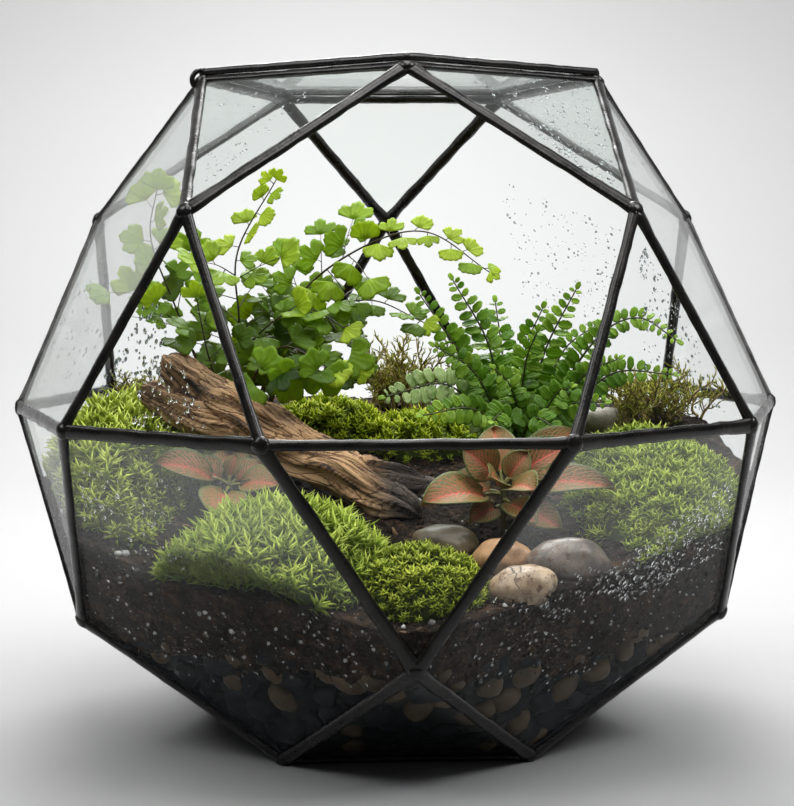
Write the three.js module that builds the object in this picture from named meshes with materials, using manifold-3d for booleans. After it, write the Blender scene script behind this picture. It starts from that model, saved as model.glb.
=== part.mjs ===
// A planted glass terrarium: a closed many-sided vessel of flat panes held in soldered metal seams,
// with one pane left out at the front, and inside it pebbles, soil, wood, stones, moss and plants.
// Millimetres, +Z up. The origin is the middle of the vessel on the surface that it stands on,
// and -Y is the open front.

import * as THREE from 'three';
import { mergeVertices } from 'three/addons/utils/BufferGeometryUtils.js';
import Module from 'manifold-3d';

const wasm = await Module();
wasm.setup();

// The vessel is driven by the five rings of corners. Two rings take their height from the others,
// so that every five-sided pane is flat.
const equatorRadius = 170;
const equatorTurn = 1.35;
const topRadius = 88.8;
const topRise = 141.8;
const shoulderRadius = 145.5;
const hipRadius = 144.3;
const hipDrop = 87.1;
const baseRadius = 87.9;

// Seams, solder and glass.
const seamHalfWidth = 2.5;
const seamThickness = 3.6;
const solderRadius = 3.9;
const glassThickness = 1.8;
const glassInset = 0.9;
const fitGap = 0.25;

// The flat band soldered on the top ring, its pane, and the wire eye at its left corner.
const bandHeight = 2.8;
const bandWidth = 5;
const bandOverhang = 1.2;
const eyeRadius = 4.2;
const eyeWire = 1.1;

const terrarium = new THREE.Group();

const finish = {
  seam: new THREE.MeshStandardMaterial({ color: 0x1d1a18, roughness: 0.45, metalness: 0.9 }),
  glass: new THREE.MeshStandardMaterial({
    color: 0xdfe8e6, roughness: 0.05, metalness: 0, transparent: true, opacity: 0.18,
  }),
  gravel: new THREE.MeshStandardMaterial({ color: 0x4a4a4c, roughness: 0.7 }),
  soil: new THREE.MeshStandardMaterial({ color: 0x2a1f18, roughness: 1 }),
  wood: new THREE.MeshStandardMaterial({ color: 0x7a5236, roughness: 0.85 }),
  stone: new THREE.MeshStandardMaterial({ color: 0x8d7663, roughness: 0.5 }),
  moss: new THREE.MeshStandardMaterial({ color: 0x6f8f1e, roughness: 0.9 }),
  sprig: new THREE.MeshStandardMaterial({ color: 0x73652b, roughness: 0.8 }),
  maidenhair: new THREE.MeshStandardMaterial({ color: 0x79b52b, roughness: 0.55 }),
  buttonFern: new THREE.MeshStandardMaterial({ color: 0x3c7d27, roughness: 0.5 }),
  nerveLeaf: new THREE.MeshStandardMaterial({ color: 0xa5684d, roughness: 0.5 }),
};

const degrees = Math.PI / 180;
const vector = (x, y, z) => new THREE.Vector3(x, y, z);
const up = vector(0, 0, 1);

// Solids: a three.js geometry becomes a closed solid and back.
function solidOf(geometry) {
  const bare = geometry.index ? geometry.toNonIndexed() : geometry.clone();
  bare.deleteAttribute('normal');
  bare.deleteAttribute('uv');
  const merged = mergeVertices(bare, 1e-4);
  return new wasm.Manifold(new wasm.Mesh({
    numProp: 3,
    vertProperties: new Float32Array(merged.attributes.position.array),
    triVerts: new Uint32Array(merged.index.array),
  }));
}

function solidOfMesh(points, index) {
  const geometry = new THREE.BufferGeometry();
  const numbers = points.flatMap((point) => point.toArray());
  geometry.setAttribute('position', new THREE.Float32BufferAttribute(numbers, 3));
  geometry.setIndex(index);
  return solidOf(geometry);
}

function geometryOf(body) {
  const mesh = body.getMesh();
  const geometry = new THREE.BufferGeometry();
  geometry.setAttribute('position', new THREE.BufferAttribute(new Float32Array(mesh.vertProperties), 3));
  geometry.setIndex(new THREE.BufferAttribute(new Uint32Array(mesh.triVerts), 1));
  geometry.computeVertexNormals();
  return geometry;
}

function joined(bodies) {
  return wasm.Manifold.union(bodies);
}

// The one body that is kept of a joint: loose scraps and sealed hollows are left out.
function mainBody(body) {
  const pieces = body.decompose();
  return pieces.reduce((best, piece) => (piece.volume() > best.volume() ? piece : best));
}

// The same solid, with each flat face drawn in as few triangles as it needs.
function fewFaces(body) {
  return body.asOriginal().simplify(0.02);
}

// A body with a margin all round, for keeping its neighbours clear of it.
const marginWays = [[1, 1, 1], [1, -1, -1], [-1, 1, -1], [-1, -1, 1]];
function padded(body) {
  return joined([body, ...marginWays.map((way) => body.translate(way.map((step) => step * fitGap)))]);
}
function boxesMeet(one, other) {
  const a = one.boundingBox();
  const b = other.boundingBox();
  return [0, 1, 2].every((k) => a.min[k] < b.max[k] && b.min[k] < a.max[k]);
}

function addPiece(name, body, material) {
  const mesh = new THREE.Mesh(geometryOf(body), material);
  mesh.name = name;
  terrarium.add(mesh);
}

// A closed solid between two outlines with the same number of points, each outline in flat fans.
function loft(outlines) {
  const points = outlines.flat();
  const count = outlines[0].length;
  const index = [];
  for (let k = 1; k < count - 1; k += 1) {
    index.push(0, k + 1, k);
    const last = (outlines.length - 1) * count;
    index.push(last, last + k, last + k + 1);
  }
  for (let row = 0; row < outlines.length - 1; row += 1) {
    for (let k = 0; k < count; k += 1) {
      const a = row * count + k;
      const b = row * count + (k + 1) % count;
      index.push(a, b, b + count, a, b + count, a + count);
    }
  }
  return solidOfMesh(points, index);
}

// The vessel's corners. Azimuth 0 is the front and grows to the right.
const gatherAngle = (18 + equatorTurn) * degrees;
const tuckAngle = (18 - equatorTurn) * degrees;
const halfStep = 36 * degrees;
const gatherReach = equatorRadius * Math.cos(gatherAngle);
const tuckReach = equatorRadius * Math.cos(tuckAngle);
const shoulderReach = shoulderRadius * Math.cos(halfStep);
const shoulderRise = topRise * (shoulderReach - gatherReach) / (topRadius - gatherReach);
const baseDrop = hipDrop * (baseRadius - tuckReach) / (hipRadius * Math.cos(halfStep) - tuckReach);
const equatorHeight = baseDrop + seamThickness / 2;
const centreShift = equatorRadius * Math.sin(18 * degrees) * Math.sin(equatorTurn * degrees);

function corner(radius, azimuth, rise) {
  const turn = azimuth * degrees;
  return new THREE.Vector3(
    radius * Math.sin(turn),
    -radius * Math.cos(turn) - centreShift,
    equatorHeight + rise,
  );
}
const topCorner = (azimuth) => corner(topRadius, azimuth, topRise);
const shoulderCorner = (azimuth) => corner(shoulderRadius, azimuth, shoulderRise);
const equatorCorner = (azimuth, side) => corner(equatorRadius, azimuth + side * (18 + equatorTurn), 0);
const hipCorner = (azimuth) => corner(hipRadius, azimuth, -hipDrop);
const baseCorner = (azimuth) => corner(baseRadius, azimuth, -baseDrop);

const vesselMiddle = new THREE.Vector3(0, -centreShift, equatorHeight);

// The way that each face looks, by its azimuth from the front.
const wayNames = new Map([
  [0, 'front'], [36, 'front_right'], [72, 'right'], [108, 'right_rear'], [144, 'rear_right'],
  [180, 'rear'], [216, 'rear_left'], [252, 'left_rear'], [288, 'left'], [324, 'front_left'],
]);
const wayOf = (azimuth) => wayNames.get((azimuth + 360) % 360);
const fifths = [0, 72, 144, 216, 288];

function face(name, corners) {
  const middle = corners.reduce((sum, point) => sum.add(point), vector(0, 0, 0))
    .divideScalar(corners.length);
  const normal = new THREE.Vector3()
    .crossVectors(corners[1].clone().sub(corners[0]), corners[2].clone().sub(corners[0])).normalize();
  const outward = middle.clone().sub(vesselMiddle);
  const inOrder = normal.dot(outward) > 0 ? corners : [...corners].reverse();
  if (normal.dot(outward) < 0) {
    normal.negate();
  }
  return { name, corners: inOrder, normal, middle };
}

const faces = [
  face('top', fifths.map(topCorner)),
  face('base', fifths.map((azimuth) => baseCorner(azimuth + 36))),
];
for (const azimuth of fifths) {
  const between = azimuth + 36;
  faces.push(face(`upper_${wayOf(azimuth)}`, [
    topCorner(azimuth), shoulderCorner(between), equatorCorner(azimuth, 1),
    equatorCorner(azimuth, -1), shoulderCorner(azimuth - 36),
  ]));
  faces.push(face(`crown_${wayOf(between)}`, [
    topCorner(azimuth), topCorner(azimuth + 72), shoulderCorner(between),
  ]));
  faces.push(face(`shoulder_${wayOf(between)}`, [
    shoulderCorner(between), equatorCorner(azimuth, 1), equatorCorner(azimuth + 72, -1),
  ]));
  faces.push(face(`hip_${wayOf(azimuth)}`, [
    hipCorner(azimuth), equatorCorner(azimuth, -1), equatorCorner(azimuth, 1),
  ]));
  faces.push(face(`lower_${wayOf(between)}`, [
    hipCorner(azimuth), equatorCorner(azimuth, 1), equatorCorner(azimuth + 72, -1),
    hipCorner(azimuth + 72), baseCorner(between),
  ]));
  faces.push(face(`foot_${wayOf(azimuth)}`, [
    baseCorner(azimuth - 36), baseCorner(azimuth + 36), hipCorner(azimuth),
  ]));
}
const openFace = 'upper_front';
const bandFace = 'top';
const paneFaces = faces.filter(({ name }) => name !== openFace && name !== bandFace);

// A flat plate in a face, its edges drawn in by an inset, between two depths along the normal.
function facePlate({ corners, normal }, inset, low, high) {
  const count = corners.length;
  const drawnIn = corners.map((point, k) => {
    const before = corners[(k + count - 1) % count];
    const after = corners[(k + 1) % count];
    const alongIn = point.clone().sub(before).normalize();
    const alongOut = after.clone().sub(point).normalize();
    const inwardIn = new THREE.Vector3().crossVectors(normal, alongIn);
    const inwardOut = new THREE.Vector3().crossVectors(normal, alongOut);
    const shift = inwardIn.add(inwardOut);
    return point.clone().addScaledVector(shift, inset / (shift.lengthSq() / 2));
  });
  const level = (depth) => drawnIn.map((point) => point.clone().addScaledVector(normal, depth));
  return loft([level(low), level(high)]);
}

// The vessel's whole shape, with every face moved out by a distance.
function vesselShape(outset) {
  const block = solidOf(new THREE.BoxGeometry(4 * equatorRadius, 4 * equatorRadius, 4 * equatorRadius));
  return faces.reduce((shape, { normal, middle }) => (
    shape.trimByPlane(normal.clone().negate().toArray(), -normal.dot(middle) - outset)
  ), block);
}

// The seams are what is left of a shell when every face is cut out but for its edges, with a lump
// of solder at each corner. They are cut level where the vessel stands.
const throughDepth = 6;
const halfSeam = seamThickness / 2;
const allCorners = fifths.flatMap((azimuth) => [
  topCorner(azimuth), shoulderCorner(azimuth + 36), equatorCorner(azimuth, 1),
  equatorCorner(azimuth, -1), hipCorner(azimuth), baseCorner(azimuth + 36),
]);
const shell = vesselShape(halfSeam).subtract(vesselShape(-halfSeam));
const windows = joined(faces.map((each) => facePlate(each, seamHalfWidth, -throughDepth, throughDepth)));
const solderLumps = allCorners.map((point) => {
  const outward = point.clone().sub(vesselMiddle).normalize();
  const lump = new THREE.CylinderGeometry(solderRadius / 2, solderRadius, solderRadius, 5);
  lump.translate(0, solderRadius / 2, 0);
  lump.applyQuaternion(new THREE.Quaternion().setFromUnitVectors(new THREE.Vector3(0, 1, 0), outward));
  lump.translate(point.x, point.y, point.z);
  return solidOf(lump);
});
const seamwork = joined([shell.subtract(windows), ...solderLumps]);

const bandFloor = equatorHeight + topRise + halfSeam + fitGap;
const halfGlass = glassThickness / 2;
const grooves = joined(paneFaces.map((pane) => (
  facePlate(pane, glassInset - fitGap, -halfGlass - fitGap, halfGlass + fitGap)
)));
const frame = fewFaces(mainBody(
  seamwork.subtract(grooves).trimByPlane([0, 0, 1], 0).trimByPlane([0, 0, -1], fitGap - bandFloor),
));
addPiece('frame', frame, finish.seam);

for (const pane of paneFaces) {
  addPiece(`pane_${pane.name}`, facePlate(pane, glassInset, -halfGlass, halfGlass), finish.glass);
}

// The band is a five-sided flat ring on the top seams, with a groove for its pane.
function bandPrism(radius, low, high) {
  const ring = (height) => fifths.map((azimuth) => (
    corner(radius, azimuth, 0).setZ(height)
  ));
  return loft([ring(low), ring(high)]);
}
const bandOuter = topRadius + bandOverhang;
const bandInner = bandOuter - bandWidth / Math.cos(halfStep);
const bandTop = bandFloor + bandHeight;
const paneFloor = bandFloor + (bandHeight - glassThickness) / 2;
const lidPaneRadius = bandOuter - bandWidth / 2;
const band = bandPrism(bandOuter, bandFloor, bandTop)
  .subtract(bandPrism(bandInner, bandFloor - 1, bandTop + 1))
  .subtract(bandPrism(lidPaneRadius + fitGap, paneFloor - fitGap, paneFloor + glassThickness + fitGap));

// The wire eye curls out of the band's left corner and down past the seam's end.
const eyeWay = vector(Math.sin(-72 * degrees), -Math.cos(-72 * degrees), 0);
const eyeAcross = new THREE.Vector3().crossVectors(eyeWay, up);
const eyeMiddle = topCorner(-72).addScaledVector(eyeWay, bandOverhang - eyeWire)
  .setZ(bandTop - eyeRadius - eyeWire);
const eyeTurns = [95, 65, 35, 5, -25, -55];
const wire = loft(eyeTurns.map((turn) => {
  const reach = eyeWay.clone().multiplyScalar(Math.cos(turn * degrees))
    .addScaledVector(up, Math.sin(turn * degrees));
  return Array.from({ length: 6 }, (_, j) => eyeMiddle.clone()
    .addScaledVector(reach, eyeRadius + eyeWire * Math.cos(j * 60 * degrees))
    .addScaledVector(eyeAcross, eyeWire * Math.sin(j * 60 * degrees)));
}));
const cornerBox = solidOf(new THREE.BoxGeometry(40, 40, 40)).translate(topCorner(-72).toArray());
const eye = wire.subtract(vesselShape(halfSeam + fitGap)).subtract(padded(frame.intersect(cornerBox)));
addPiece('top_band', fewFaces(mainBody(band.add(eye))), finish.seam);
addPiece('pane_top', bandPrism(lidPaneRadius, paneFloor, paneFloor + glassThickness), finish.glass);

// Everything inside stays within the seams.
const seamClear = halfSeam + fitGap;
const cavity = vesselShape(-seamClear);

// A repeatable number between 0 and 1 for each counting number.
function scatter(n) {
  const wave = Math.sin(n * 12.9898) * 43758.5453;
  return wave - Math.floor(wave);
}
const sunflowerTurn = 137.5 * degrees;

// The ground rises in a soft step from the front glass to the back, and banks up at both sides. It
// dips behind the front corner and at the left front.
const gravelTop = 54;
const groundFront = 77;
const groundClimb = 57;
function groundHeight(x, y) {
  const climb = THREE.MathUtils.smoothstep(y, -140, 100);
  const bank = 9 * (x / 130) ** 2 * (1 - 0.7 * climb);
  const frontDip = 6 * Math.exp(-((x / 45) ** 2) - (((y + 150) / 30) ** 2));
  const leftDip = 9 * Math.exp(-(((x + 100) / 38) ** 2) - (((y + 95) / 32) ** 2));
  const bumps = 1.2 * Math.sin(x / 13) * Math.cos(y / 11);
  return groundFront + groundClimb * climb + bank - frontDip - leftDip + bumps;
}

// A closed block over a square grid: flat below, raised by a height function above.
function terrain(halfSize, cells, floor, heightAt) {
  const step = (2 * halfSize) / cells;
  const row = cells + 1;
  const points = [];
  const index = [];
  for (let j = 0; j <= cells; j += 1) {
    for (let i = 0; i <= cells; i += 1) {
      const x = -halfSize + i * step;
      const y = -halfSize + j * step;
      points.push(vector(x, y, heightAt(x, y)));
    }
  }
  for (let j = 0; j < cells; j += 1) {
    for (let i = 0; i < cells; i += 1) {
      const a = j * row + i;
      index.push(a, a + 1, a + row + 1, a, a + row + 1, a + row);
    }
  }
  const rim = [];
  for (let k = 0; k < cells; k += 1) {
    rim.push(k);
  }
  for (let k = 0; k < cells; k += 1) {
    rim.push(k * row + cells);
  }
  for (let k = cells; k > 0; k -= 1) {
    rim.push(cells * row + k);
  }
  for (let k = cells; k > 0; k -= 1) {
    rim.push(k * row);
  }
  const firstLow = points.length;
  rim.forEach((top) => points.push(points[top].clone().setZ(floor)));
  const centre = points.length;
  points.push(vector(0, 0, floor));
  rim.forEach((top, k) => {
    const next = (k + 1) % rim.length;
    index.push(top, firstLow + k, rim[next], rim[next], firstLow + k, firstLow + next);
    index.push(centre, firstLow + next, firstLow + k);
  });
  return solidOfMesh(points, index);
}
const groundCells = 12;
const ground = terrain(equatorRadius, groundCells, gravelTop + fitGap, groundHeight);
const raisedGround = ground.translate([0, 0, fitGap]);

// Gravel: three rows of pebbles round the bed, raised from its side by a formula.
function reachAt(azimuth, height, inset) {
  const way = vector(Math.sin(azimuth), -Math.cos(azimuth), 0);
  const start = vector(0, -centreShift, height);
  return Math.min(...faces.map(({ normal, middle }) => {
    const slope = normal.dot(way);
    return slope > 0.01 ? (normal.dot(middle.clone().sub(start)) - inset) / slope : Infinity;
  }));
}
const gravelFloor = halfSeam + halfGlass + fitGap;
const seamTop = seamThickness + fitGap;
const footReach = 65;
const pebbleRound = 20;
const pebbleSamples = 3;
const pebbleDepth = 5;
const pebbleRows = 3;
const pebblePitch = (gravelTop - seamTop) / pebbleRows;
function gravelRing(height, reach) {
  const count = pebbleRound * pebbleSamples;
  return Array.from({ length: count }, (_, k) => {
    const azimuth = (k / count) * 2 * Math.PI;
    const distance = reach(azimuth);
    return vector(distance * Math.sin(azimuth), -distance * Math.cos(azimuth) - centreShift, height);
  });
}
function pebbleHollow(azimuth, height) {
  const row = Math.floor((height - seamTop) / pebblePitch);
  const across = (azimuth / (2 * Math.PI)) * pebbleRound + row / 2;
  const aside = 2 * (across - Math.floor(across)) - 1;
  const above = 2 * ((height - seamTop) / pebblePitch - row) - 1;
  return pebbleDepth * Math.min(1, aside ** 2 * 0.8 + above ** 2);
}
const pebbleHeights = [0, 0.5, 1, 1.5, 2, 2.5].map((rows) => seamTop + 0.3 + rows * pebblePitch);
const gravelBed = loft([
  gravelRing(gravelFloor, () => footReach),
  gravelRing(seamTop, () => footReach + 1),
  ...pebbleHeights.map((height) => gravelRing(height, (azimuth) => (
    reachAt(azimuth, height, seamClear) - pebbleHollow(azimuth, height)
  ))),
  gravelRing(gravelTop, (azimuth) => reachAt(azimuth, gravelTop, seamClear) - pebbleDepth / 2),
]);
addPiece('gravel_bed', gravelBed, finish.gravel);

const woodTwist = 0.9;
const woodRidge = 0.84;
const woodFlat = 0.9;
// A tapering branch of wood with ridged bark: a ring of points at each stop of a curve.
function branch(stops, ridges, grow) {
  const curve = new THREE.CatmullRomCurve3(stops.map(({ at }) => vector(...at)));
  const count = 2 * ridges;
  const rings = stops.length * 2 - 1;
  const outlines = Array.from({ length: rings }, (_, k) => {
    const along = k / (rings - 1);
    const centre = curve.getPoint(along);
    const tangent = curve.getTangent(along);
    const side = new THREE.Vector3().crossVectors(up, tangent).normalize();
    const over = new THREE.Vector3().crossVectors(tangent, side);
    const stop = Math.min(Math.floor(along * (stops.length - 1)), stops.length - 2);
    const part = along * (stops.length - 1) - stop;
    const radius = THREE.MathUtils.lerp(stops[stop].radius, stops[stop + 1].radius, part);
    return Array.from({ length: count }, (__, j) => {
      const turn = (j / count) * 2 * Math.PI + along * woodTwist;
      const ridge = j % 2 ? woodRidge : 1;
      const reach = radius * ridge * (0.92 + 0.16 * scatter(k * 31 + j)) + grow;
      return centre.clone()
        .addScaledVector(side, reach * Math.cos(turn))
        .addScaledVector(over, reach * woodFlat * Math.sin(turn));
    });
  });
  return loft(outlines);
}
const woodBranches = [
  { ridges: 5, stops: [
    { at: [-98, 2, 160.5], radius: 8 }, { at: [-86, 1, 151], radius: 10.5 },
    { at: [-71, -4, 140], radius: 12.5 }, { at: [-55.5, -10, 130], radius: 12.5 },
    { at: [-41, -18, 122], radius: 10.5 }, { at: [-27, -26, 116], radius: 10 },
    { at: [-12, -32, 108.5], radius: 9.5 }, { at: [2, -38, 101.5], radius: 7 },
  ] },
  { ridges: 4, stops: [
    { at: [-110, 0, 149], radius: 6.5 }, { at: [-99, -3, 143], radius: 8.5 },
    { at: [-84, -6, 136], radius: 9 }, { at: [-67, -8, 129], radius: 8 },
  ] },
  { ridges: 4, stops: [
    { at: [-64, -4, 130], radius: 10 }, { at: [-57, 2, 119], radius: 9 }, { at: [-51, 6, 109], radius: 8 },
  ] },
  { ridges: 4, stops: [
    { at: [-15, -26, 115], radius: 8.5 }, { at: [2, -20, 109], radius: 8 },
    { at: [16, -14, 106], radius: 5 },
  ] },
];
const wood = (grow) => joined(woodBranches.map(({ stops, ridges }) => branch(stops, ridges, grow)));
const driftwood = wood(0);
const woodClear = wood(fitGap);
addPiece('driftwood', fewFaces(mainBody(driftwood)), finish.wood);

// River stones lie on the soil, each a rounded lump set a little into it.
const stones = [
  { name: 'stone_dark_brown', at: [16, -74], size: [14.5, 10, 8], turn: 10 },
  { name: 'stone_orange_tan', at: [38, -87], size: [12, 9, 8.5], turn: -12 },
  { name: 'stone_grey_brown', at: [63, -98.5], size: [16.5, 11, 9.5], turn: -8 },
  { name: 'stone_mottled_tan', at: [43, -116], size: [13, 9.5, 9], turn: 6 },
  { name: 'stone_grey_rear', at: [97, 44], size: [13, 9, 8], turn: 0 },
];
const stoneSink = 0.3;
function stone({ at: [x, y], size: [length, width, height], turn }, grow) {
  const lump = new THREE.SphereGeometry(1, 10, 7);
  lump.rotateX(90 * degrees);
  lump.scale(length + grow, width + grow, height + grow);
  lump.rotateZ(turn * degrees);
  lump.translate(x, y, groundHeight(x, y) + height * (1 - 2 * stoneSink));
  return solidOf(lump);
}
const stonesClear = joined(stones.map((each) => stone(each, fitGap)));
for (const each of stones) {
  addPiece(each.name, stone(each, 0), finish.stone);
}

// A thin three-sided blade from a sunk root to its tip.
function spike(root, tip, radius) {
  const along = tip.clone().sub(root).normalize();
  const side = new THREE.Vector3().crossVectors(along, vector(0.3, 1, 0.2)).normalize();
  const other = new THREE.Vector3().crossVectors(along, side);
  const foot = [0, 1, 2].map((k) => root.clone()
    .addScaledVector(side, radius * Math.cos(k * 120 * degrees))
    .addScaledVector(other, radius * Math.sin(k * 120 * degrees)));
  return solidOfMesh([...foot, tip], [0, 2, 1, 0, 1, 3, 1, 2, 3, 2, 0, 3]);
}

// Moss cushions: low domes on the ground with blades standing out of them all over.
const mossSectors = 10;
const mossRings = [1, 0.96, 0.72, 0.3];
const mossSkirt = 5;
const bladeRadius = 1.1;
const bladeSink = 1.6;
const mosses = [
  {
    name: 'moss_left_bank', bladeLength: 9, blades: 30,
    domes: [{ at: [-120, -8], radius: [30, 60], height: 16 }],
  },
  {
    name: 'moss_front_left', bladeLength: 10, blades: 38,
    domes: [{ at: [-54, -92], radius: [45, 35], height: 20 }],
  },
  {
    name: 'moss_front_centre', bladeLength: 5.5, blades: 28,
    domes: [{ at: [5, -113], radius: [24, 22], height: 17 }],
  },
  {
    name: 'moss_cushions', bladeLength: 5.5, blades: 16,
    domes: [
      { at: [-34, 40], radius: [28, 20], height: 14 },
      { at: [12, 30], radius: [27, 20], height: 12 },
    ],
  },
  {
    name: 'moss_right_bank', bladeLength: 6.5, blades: 38,
    domes: [{ at: [108, -34], radius: [36, 58], height: 14 }],
  },
];
function domeRise(height, share) {
  return height * Math.max(0, 1 - share ** 2) ** 0.6;
}
function dome({ at: [x, y], radius: [wide, deep], height }) {
  return loft(mossRings.map((share, row) => Array.from({ length: mossSectors }, (_, k) => {
    const turn = (k / mossSectors) * 2 * Math.PI;
    const wobble = share * (1 + 0.1 * (scatter(k * 7 + x) - 0.5));
    const px = x + wide * wobble * Math.cos(turn);
    const py = y + deep * wobble * Math.sin(turn);
    const rise = domeRise(height, share) * (0.92 + 0.16 * scatter(k * 3 + row * 17));
    return vector(px, py, groundHeight(px, py) + (row === 0 ? -mossSkirt : rise));
  })));
}
function domeBlades({ at: [x, y], radius: [wide, deep], height }, count, length) {
  return Array.from({ length: count }, (_, k) => {
    const share = 0.95 * Math.sqrt((k + 0.5) / count);
    const turn = k * sunflowerTurn;
    const px = x + wide * share * Math.cos(turn);
    const py = y + deep * share * Math.sin(turn);
    const root = vector(px, py, groundHeight(px, py) + domeRise(height, share) - bladeSink);
    const way = vector(
      0.8 * share * Math.cos(turn) + scatter(k + 3) - 0.5,
      0.8 * share * Math.sin(turn) + scatter(k + 5) - 0.5,
      1,
    ).normalize();
    const reach = bladeSink + length * (0.7 + 0.5 * scatter(k));
    return spike(root, root.clone().addScaledVector(way, reach), bladeRadius);
  });
}
// A thin sheet becomes a closed solid: a face on either side, and a wall along every open edge.
const leafThickness = 0.7;
function sheetSolid({ points, normals, triangles }) {
  const count = points.length;
  const shifted = (by) => points.map((point, k) => point.clone().addScaledVector(normals[k], by));
  const index = [];
  const open = new Map();
  for (const [a, b, c] of triangles) {
    index.push(a, b, c, a + count, c + count, b + count);
    for (const [start, end] of [[a, b], [b, c], [c, a]]) {
      if (!open.delete(`${end},${start}`)) {
        open.set(`${start},${end}`, [start, end]);
      }
    }
  }
  for (const [start, end] of open.values()) {
    index.push(end, start, start + count, end, start + count, end + count);
  }
  return solidOfMesh([...shifted(leafThickness / 2), ...shifted(-leafThickness / 2)], index);
}

// Leaflet outlines, from the stalk outwards: each step gives how far out and how far to each side,
// as shares of the leaflet's length and width. A notch is a last point on the middle line.
const leafletShapes = {
  fan: { steps: [[0.3, 0.05], [0.8, 0.5], [1, 0.24]], notch: 0.88 },
  round: { steps: [[0.42, 0.5], [0.95, 0.24]] },
  needle: { steps: [[0.95, 0.12]] },
};

// A frond: a narrow strip along a curve with leaflets standing out of both its edges.
const stemHalfWidth = 0.7;
const tipHalfWidth = 0.4;
function frondSheet({ stops, bare, count, shape, length, width, forward, alternate, facing }) {
  const curve = new THREE.CatmullRomCurve3(stops.map((stop) => vector(...stop)));
  const points = [];
  const normals = [];
  const triangles = [];
  const frameAt = (along) => {
    const tangent = curve.getTangentAt(along);
    const normal = facing.clone().addScaledVector(tangent, -facing.dot(tangent)).normalize();
    const side = new THREE.Vector3().crossVectors(tangent, normal);
    return { centre: curve.getPointAt(along), tangent, normal, side };
  };
  const addPoint = (point, normal) => {
    points.push(point);
    normals.push(normal);
    return points.length - 1;
  };
  const addPair = (along) => {
    const { centre, normal, side } = frameAt(along);
    const half = THREE.MathUtils.lerp(stemHalfWidth, tipHalfWidth, along);
    return [1, -1].map((way) => addPoint(centre.clone().addScaledVector(side, way * half), normal));
  };
  const addStrip = ([a, b], [c, d]) => triangles.push([a, c, b], [b, c, d]);
  const pitch = (1 - bare) / count;
  const total = curve.getLength();
  const footShare = Math.min(0.35 * pitch, 0.7 / total);
  let last = addPair(0);
  for (const along of [0.35, 0.7].map((share) => share * bare)) {
    const next = addPair(along);
    addStrip(last, next);
    last = next;
  }
  for (let k = 0; k < count; k += 1) {
    const along = bare + k * pitch;
    const near = addPair(along);
    const far = addPair(Math.min(along + 2 * footShare, 1));
    addStrip(last, near);
    addStrip(near, far);
    last = far;
    const { centre, tangent, normal, side } = frameAt(Math.min(along + footShare, 1));
    const size = 1 - 0.45 * (k / count) ** 2;
    for (const way of alternate ? [k % 2 ? 1 : -1] : [1, -1]) {
      const lift = 0.5 * (scatter(k * 5 + way + total) - 0.5);
      const out = side.clone().multiplyScalar(way * Math.cos(forward))
        .addScaledVector(tangent, Math.sin(forward)).addScaledVector(normal, lift).normalize();
      const across = new THREE.Vector3().crossVectors(normal, out).normalize().multiplyScalar(way);
      const place = (outShare, sideShare) => addPoint(
        centre.clone()
          .addScaledVector(out, outShare * length * size)
          .addScaledVector(across, sideShare * width * size),
        normal,
      );
      const pick = way > 0 ? 0 : 1;
      let pair = [near[pick], far[pick]];
      const { steps, notch } = leafletShapes[shape];
      const turned = (sheet) => triangles.push(
        ...sheet.map(([p, q, r]) => (way > 0 ? [p, q, r] : [q, p, r])),
      );
      steps.forEach(([outShare, sideShare], row) => {
        if (notch && row === steps.length - 1) {
          const [a, b] = pair;
          const middle = place(notch, 0);
          const left = place(outShare, -sideShare);
          const right = place(outShare, sideShare);
          turned([[a, middle, b], [a, left, middle], [middle, right, b]]);
        } else {
          const next = [place(outShare, -sideShare), place(outShare, sideShare)];
          turned([[pair[0], next[0], next[1]], [pair[0], next[1], pair[1]]]);
          pair = next;
        }
      });
    }
  }
  return { points, normals, triangles };
}

// The plants. Each stands in a plain hole in the soil on a short crown, and its fronds rise from the
// crown through their stops.
const crownDepth = 8;
const crownRise = 3;
const crownRadius = 2.6;
const crownSpread = 1.4;
function crownStub([x, y], grow) {
  const radius = crownRadius + grow;
  const stub = new THREE.CylinderGeometry(radius, radius, crownDepth + crownRise + 2 * grow, 6);
  stub.rotateX(90 * degrees);
  stub.translate(x, y, groundHeight(x, y) + (crownRise - crownDepth) / 2);
  return solidOf(stub);
}
function rootIn([x, y], k) {
  const turn = k * sunflowerTurn;
  const rootX = x + crownSpread * Math.cos(turn);
  const rootY = y + crownSpread * Math.sin(turn);
  return [rootX, rootY, groundHeight(x, y) - 1];
}
const towardsViewer = vector(-0.1, -0.8, 0.6).normalize();
const upwards = vector(0, -0.35, 1).normalize();
const maidenhair = {
  shape: 'fan', length: 14, width: 13.5, forward: 35 * degrees, alternate: true,
  facing: towardsViewer, bare: 0.4,
};
const twig = { ...maidenhair, bare: 0.15, length: 12.5, width: 12 };
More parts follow.
